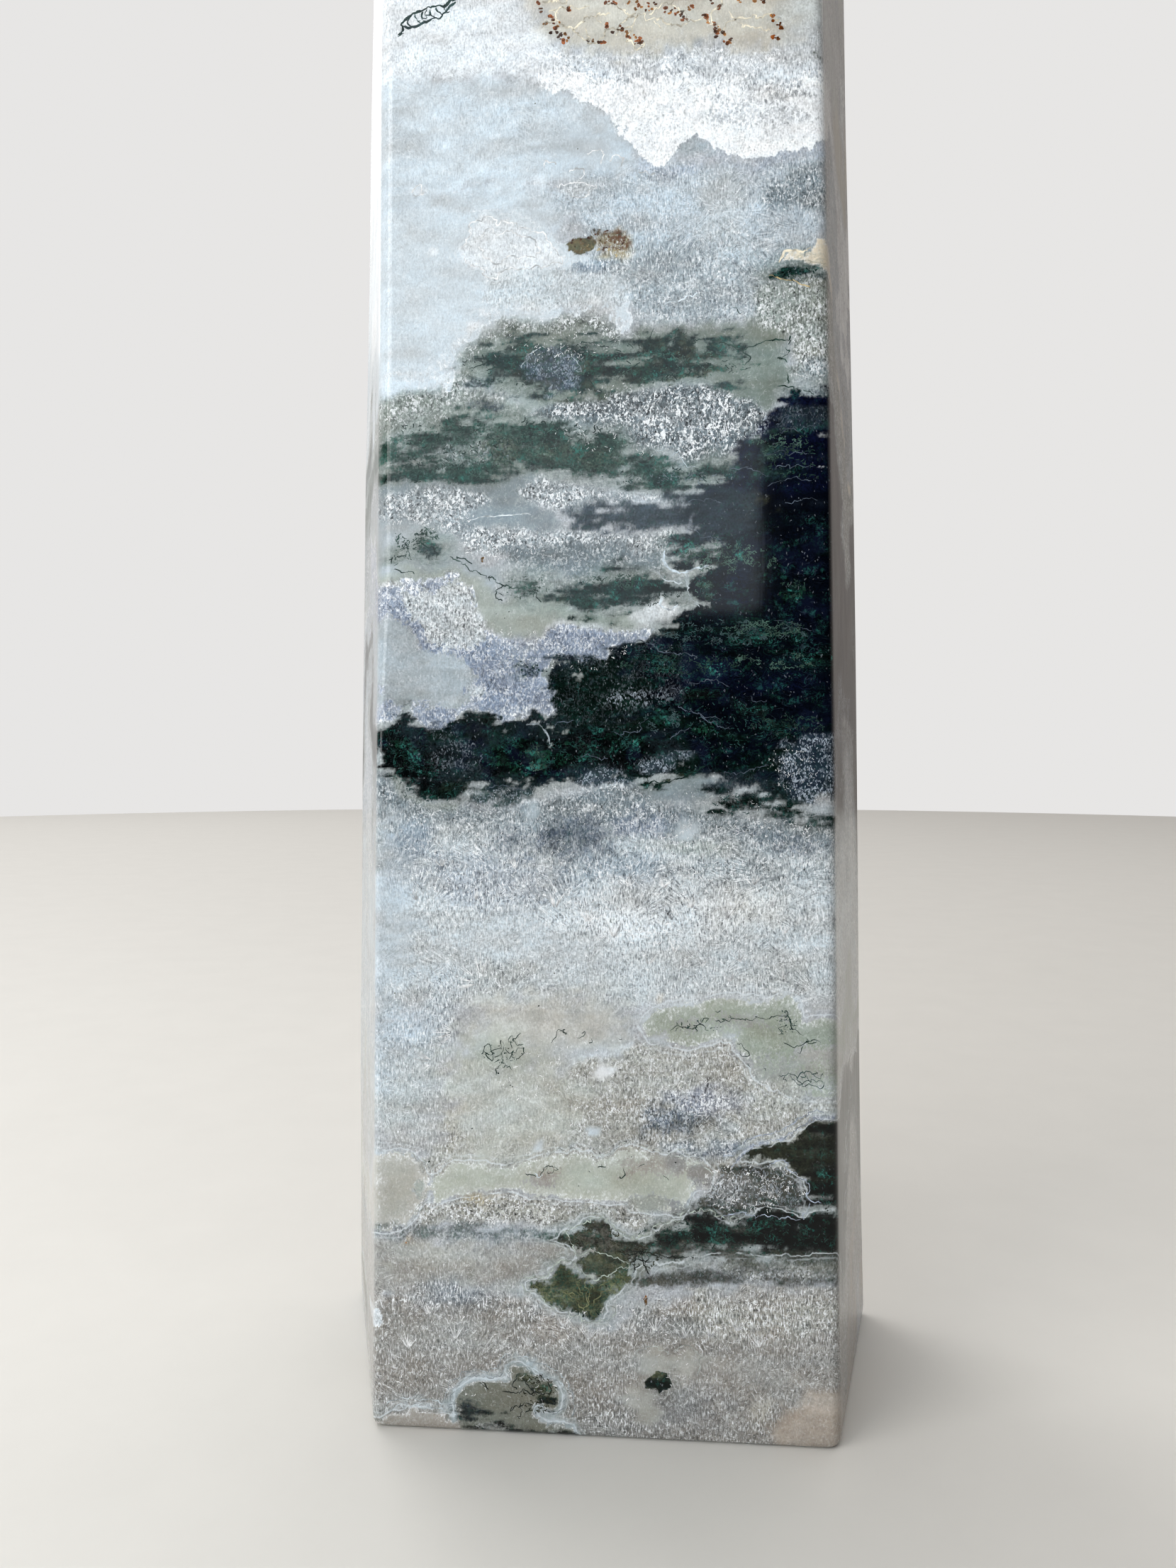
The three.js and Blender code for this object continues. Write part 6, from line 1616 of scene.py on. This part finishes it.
stores = {}
for k, row in enumerate(STRANDS.strip().splitlines()):
    kind, col, size, extra, pts = row.split("|")
    store = stores.setdefault(col, {"v": [], "f": []})
    size, extra = float(size), [float(v) for v in extra.split()]
    pts = [tuple(float(v) for v in q.split(",")) for q in pts.split()]
    if kind == "line":
        q = [p for p in (face_point(*p) for p in pts) if p is not None]
        if len(q) < 2:
            continue
        path, t = smooth_path(q)
        path = wander(path, t, extra[0] * 0.36, k * 3.7)
        half = size * 0.5 * (0.75 + 0.9 * (fbm(t / 0.5, t * 0 + k, 9, 3) + 0.25)) * np.clip(np.minimum(t, t[-1] - t) / 0.25 + 0.35, 0, 1)
        sliver(store, path, np.clip(half, size * 0.14, size), FACE_OUT)
    elif kind == "speck":
        for px, py in pts:
            c = face_point(px, py)
            if c is not None:
                for part in range(3 if size > 0.15 else 1):
                    aside = rnd.normal(0.0, 0.5, 2) * size * (part > 0)
                    blot(store, c + np.array([aside[0], LEAN * aside[1], aside[1]]), size * rnd.uniform(0.35, 0.8 if size > 0.15 else 1.2), FACE_OUT)
    elif kind == "fan":
        n, r_in, r_out, turn_from, turn_to = extra
        for px, py in pts:
            c = face_point(px, py)
            if c is None:
                continue
            for _ in range(int(n)):
                a = math.radians(rnd.uniform(turn_from, turn_to))
                near = r_in * rnd.uniform(0.6, 1.5)
                far = near + (r_out - r_in) * rnd.uniform(0.3, 1.0)
                along = np.array([math.cos(a), LEAN * math.sin(a), math.sin(a)])
                across = np.array([-math.sin(a), LEAN * math.cos(a), math.cos(a)])
                path, t = smooth_path([c + along * near, c + along * (near + far) / 2 + across * rnd.normal(0, 0.05), c + along * far], 0.3)
                path[:, 1] = LEAN * path[:, 2]
                sliver(store, path, size * 0.5 * rnd.uniform(0.6, 1.5) * np.linspace(1.0, 0.3, len(path)), FACE_OUT)
    else:
        (cx, cy), (ex, ey) = pts
        rx, ry = abs(ex - cx), abs(ey - cy)
        is_dark = PALETTE[col][0] < 150
        for _ in range(int(extra[0] * 3.2)):
            r, a = math.sqrt(rnd.uniform(0, 1)), rnd.uniform(0, 2 * math.pi)
            c = face_point(cx + rx * 1.1 * r * math.cos(a), cy + ry * 1.25 * r * math.sin(a))
            if c is None:
                continue
            crowd = float(fbm(np.array([c[0] / 0.9]), np.array([c[2] / 0.55 + k * 9.1]), 13, 3)[0])
            if crowd < rnd.uniform(-0.02, 0.14):
                continue
            if rnd.uniform(0, 1) < (0.5 if is_dark else 0.15):
                blot(store, c, size * rnd.uniform(0.5, 1.25), FACE_OUT, 6)
                continue
            a, length = rnd.normal(0.0 if is_dark else 1.4, 0.9), extra[1] * rnd.uniform(0.10, 0.34)
            step_to = np.array([math.cos(a), LEAN * math.sin(a), math.sin(a)]) * length
            bend = np.array([-math.sin(a), LEAN * math.cos(a), math.cos(a)]) * length * rnd.normal(0, 0.22)
            path, t = smooth_path([c - step_to / 2, c + bend, c + step_to / 2 + bend * rnd.uniform(-0.6, 0.6)], 0.2)
            path[:, 1] = LEAN * path[:, 2]
            sliver(store, path, size * 0.5 * rnd.uniform(0.7, 1.5) * np.ones(len(path)), FACE_OUT)

for col, store in stores.items():
    if not store["f"]:
        continue
    m = bpy.data.meshes.new("threads_" + col)
    m.from_pydata(store["v"], [], store["f"])
    m.update()
    flat_uv = m.uv_layers.new(name="OFBake")
    at = np.array(store["v"])[[l.vertex_index for l in m.loops]]
    flat_uv.data.foreach_set("uv", np.stack([(at[:, 0] + 0.036) / 0.072, at[:, 2] / 0.231], -1).ravel())
    o = bpy.data.objects.new("threads_" + col, m)
    bpy.context.collection.objects.link(o)
    mat = bpy.data.materials.new("thread_" + col)
    g = Graph(mat)
    coord = g.node("ShaderNodeTexCoord")
    grain = g.noise(S(g, coord.outputs["Object"]), 900.0, 2.0, 0.6)
    c = g.mix(g.step(grain, 0.35, 0.65), rgb(*[v * 0.72 for v in PALETTE[col]]), rgb(*[min(255, v * 1.1 + 6) for v in PALETTE[col]]))
    b = g.node("ShaderNodeBsdfPrincipled", {"Base Color": c, "Roughness": 0.06, "IOR": 1.54, "Specular IOR Level": 0.26})
    e = g.node("ShaderNodeOutputMaterial")
    g.t.links.new(b.outputs[0], e.inputs[0])
    m.materials.append(mat)
    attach(o, "root")


# ------------------------------------------------------------------ studio
def plain(name, col, rough=0.6):
    m = bpy.data.materials.new(name)
    g = Graph(m)
    coord = g.node("ShaderNodeTexCoord")
    n = g.noise(S(g, coord.outputs["Object"]), 60.0, 4.0, 0.6)
    c = g.mix(n, rgb(*[v * 0.97 for v in col]), rgb(*col))
    b = g.node("ShaderNodeBsdfPrincipled", {"Base Color": c, "Roughness": rough})
    o = g.node("ShaderNodeOutputMaterial")
    g.t.links.new(b.outputs[0], o.inputs[0])
    return m


def world_point(xc, yc, z):
    """A point given from the camera's foot (mm right, mm ahead, mm up), in the frame."""
    w = np.array([xc, yc]) - FL0
    return to_frame(w @ E1, w @ E2, z)


FLOOR_RADIUS = 1.3
turn = np.linspace(0, 2 * math.pi, 97)[:-1]
slab = bpy.data.meshes.new("floor")
slab.from_pydata([(FLOOR_RADIUS * math.cos(t), FLOOR_RADIUS * math.sin(t), 0.0) for t in turn], [], [tuple(range(96))])
slab.materials.append(plain("pale_floor", (220, 217, 211)))
ground = bpy.data.objects.new("floor", slab)
bpy.context.collection.objects.link(ground)


def area(name, at, look, size, watts, col=(1, 1, 1)):
    from mathutils import Vector
    l = bpy.data.lights.new(name, "AREA")
    l.shape = "RECTANGLE"
    l.size, l.size_y = size
    l.energy = watts
    l.color = col
    o = bpy.data.objects.new(name, l)
    o.location = at
    o.rotation_euler = (Vector(look) - Vector(at)).to_track_quat("-Z", "Y").to_euler()
    bpy.context.collection.objects.link(o)
    return o


centre_pt = (0, 0, 0.1)
# A tall softbox to the left, behind the camera: its reflection is the pale veil over the upper left of the show face.
area("window", world_point(-303, -600, 547), world_point(-303, 0, 547), (0.6, 0.7), 3.1, (0.82, 0.92, 1.0))
area("key_left", world_point(-560, -260, 300), centre_pt, (0.45, 0.45), 3.0)
area("ceiling", (0.0, 0.35, 1.7), (0.0, 0.35, 0.0), (3.4, 3.4), 32.0)
area("back_fill", (-0.9, 0.9, 1.0), centre_pt, (0.9, 0.9), 5.0)

# A pale surround: bright behind the stone, dim on the side it faces, and always pale where the camera looks past it.
w = bpy.data.worlds.new("studio")
w.use_nodes = True
nodes, links = w.node_tree.nodes, w.node_tree.links
back = nodes["Background"]
back.inputs[0].default_value = (0.98, 0.97, 0.96, 1.0)
place = nodes.new("ShaderNodeTexCoord")
split = nodes.new("ShaderNodeSeparateXYZ")
links.new(place.outputs["Generated"], split.inputs[0])
ramp = nodes.new("ShaderNodeMapRange")
ramp.interpolation_type = "SMOOTHSTEP"
links.new(split.outputs[1], ramp.inputs["Value"])
tilt = nodes.new("ShaderNodeMapRange")
tilt.interpolation_type = "SMOOTHSTEP"
links.new(split.outputs[0], tilt.inputs["Value"])
for key, val in (("From Min", -0.40), ("From Max", 0.45), ("To Min", 1.15), ("To Max", 0.50)):
    tilt.inputs[key].default_value = val
scaled = nodes.new("ShaderNodeMath")
scaled.operation = "MULTIPLY"
links.new(ramp.outputs[0], scaled.inputs[0])
links.new(tilt.outputs[0], scaled.inputs[1])
warm = nodes.new("ShaderNodeMix")
warm.data_type = "RGBA"
links.new(tilt.outputs[0], warm.inputs[0])
warm.inputs[6].default_value = (1.0, 0.84, 0.74, 1.0)
warm.inputs[7].default_value = (0.98, 0.97, 0.96, 1.0)
for key, val in (("From Min", -0.15), ("From Max", 0.45), ("To Min", 0.03), ("To Max", 0.62)):
    ramp.inputs[key].default_value = val
seen_by = nodes.new("ShaderNodeLightPath")
blend = nodes.new("ShaderNodeMix")
links.new(seen_by.outputs["Is Camera Ray"], blend.inputs[0])
links.new(scaled.outputs[0], blend.inputs[2])
blend.inputs[3].default_value = 0.80
tint = nodes.new("ShaderNodeMix")
tint.data_type = "RGBA"
links.new(seen_by.outputs["Is Camera Ray"], tint.inputs[0])
links.new(warm.outputs[2], tint.inputs[6])
tint.inputs[7].default_value = (0.98, 0.97, 0.96, 1.0)
links.new(tint.outputs[2], back.inputs[0])
links.new(blend.outputs[0], back.inputs[1])
bpy.context.scene.world = w
bpy.context.scene.view_settings.view_transform = "Standard"
bpy.context.scene.view_settings.exposure = 0.06
bpy.context.scene.view_settings.gamma = 0.90

# ------------------------------------------------------------------ camera
cam = bpy.data.cameras.new("camera")
cam.sensor_fit = "VERTICAL"
cam.sensor_height = 36.0
cam.lens = FOCAL_PX / 2212.0 * 36.0
cam.clip_start = 0.005
cam.clip_end = 10.0
co = bpy.data.objects.new("camera", cam)
co.location = world_point(0, 0, CAM_H)
ahead = math.atan2(-E1[1], E1[0])  # how far the camera's heading is turned from the frame's +Y
co.rotation_euler = (math.pi / 2 - PITCH, 0.0, ahead)
bpy.context.collection.objects.link(co)
bpy.context.scene.camera = co
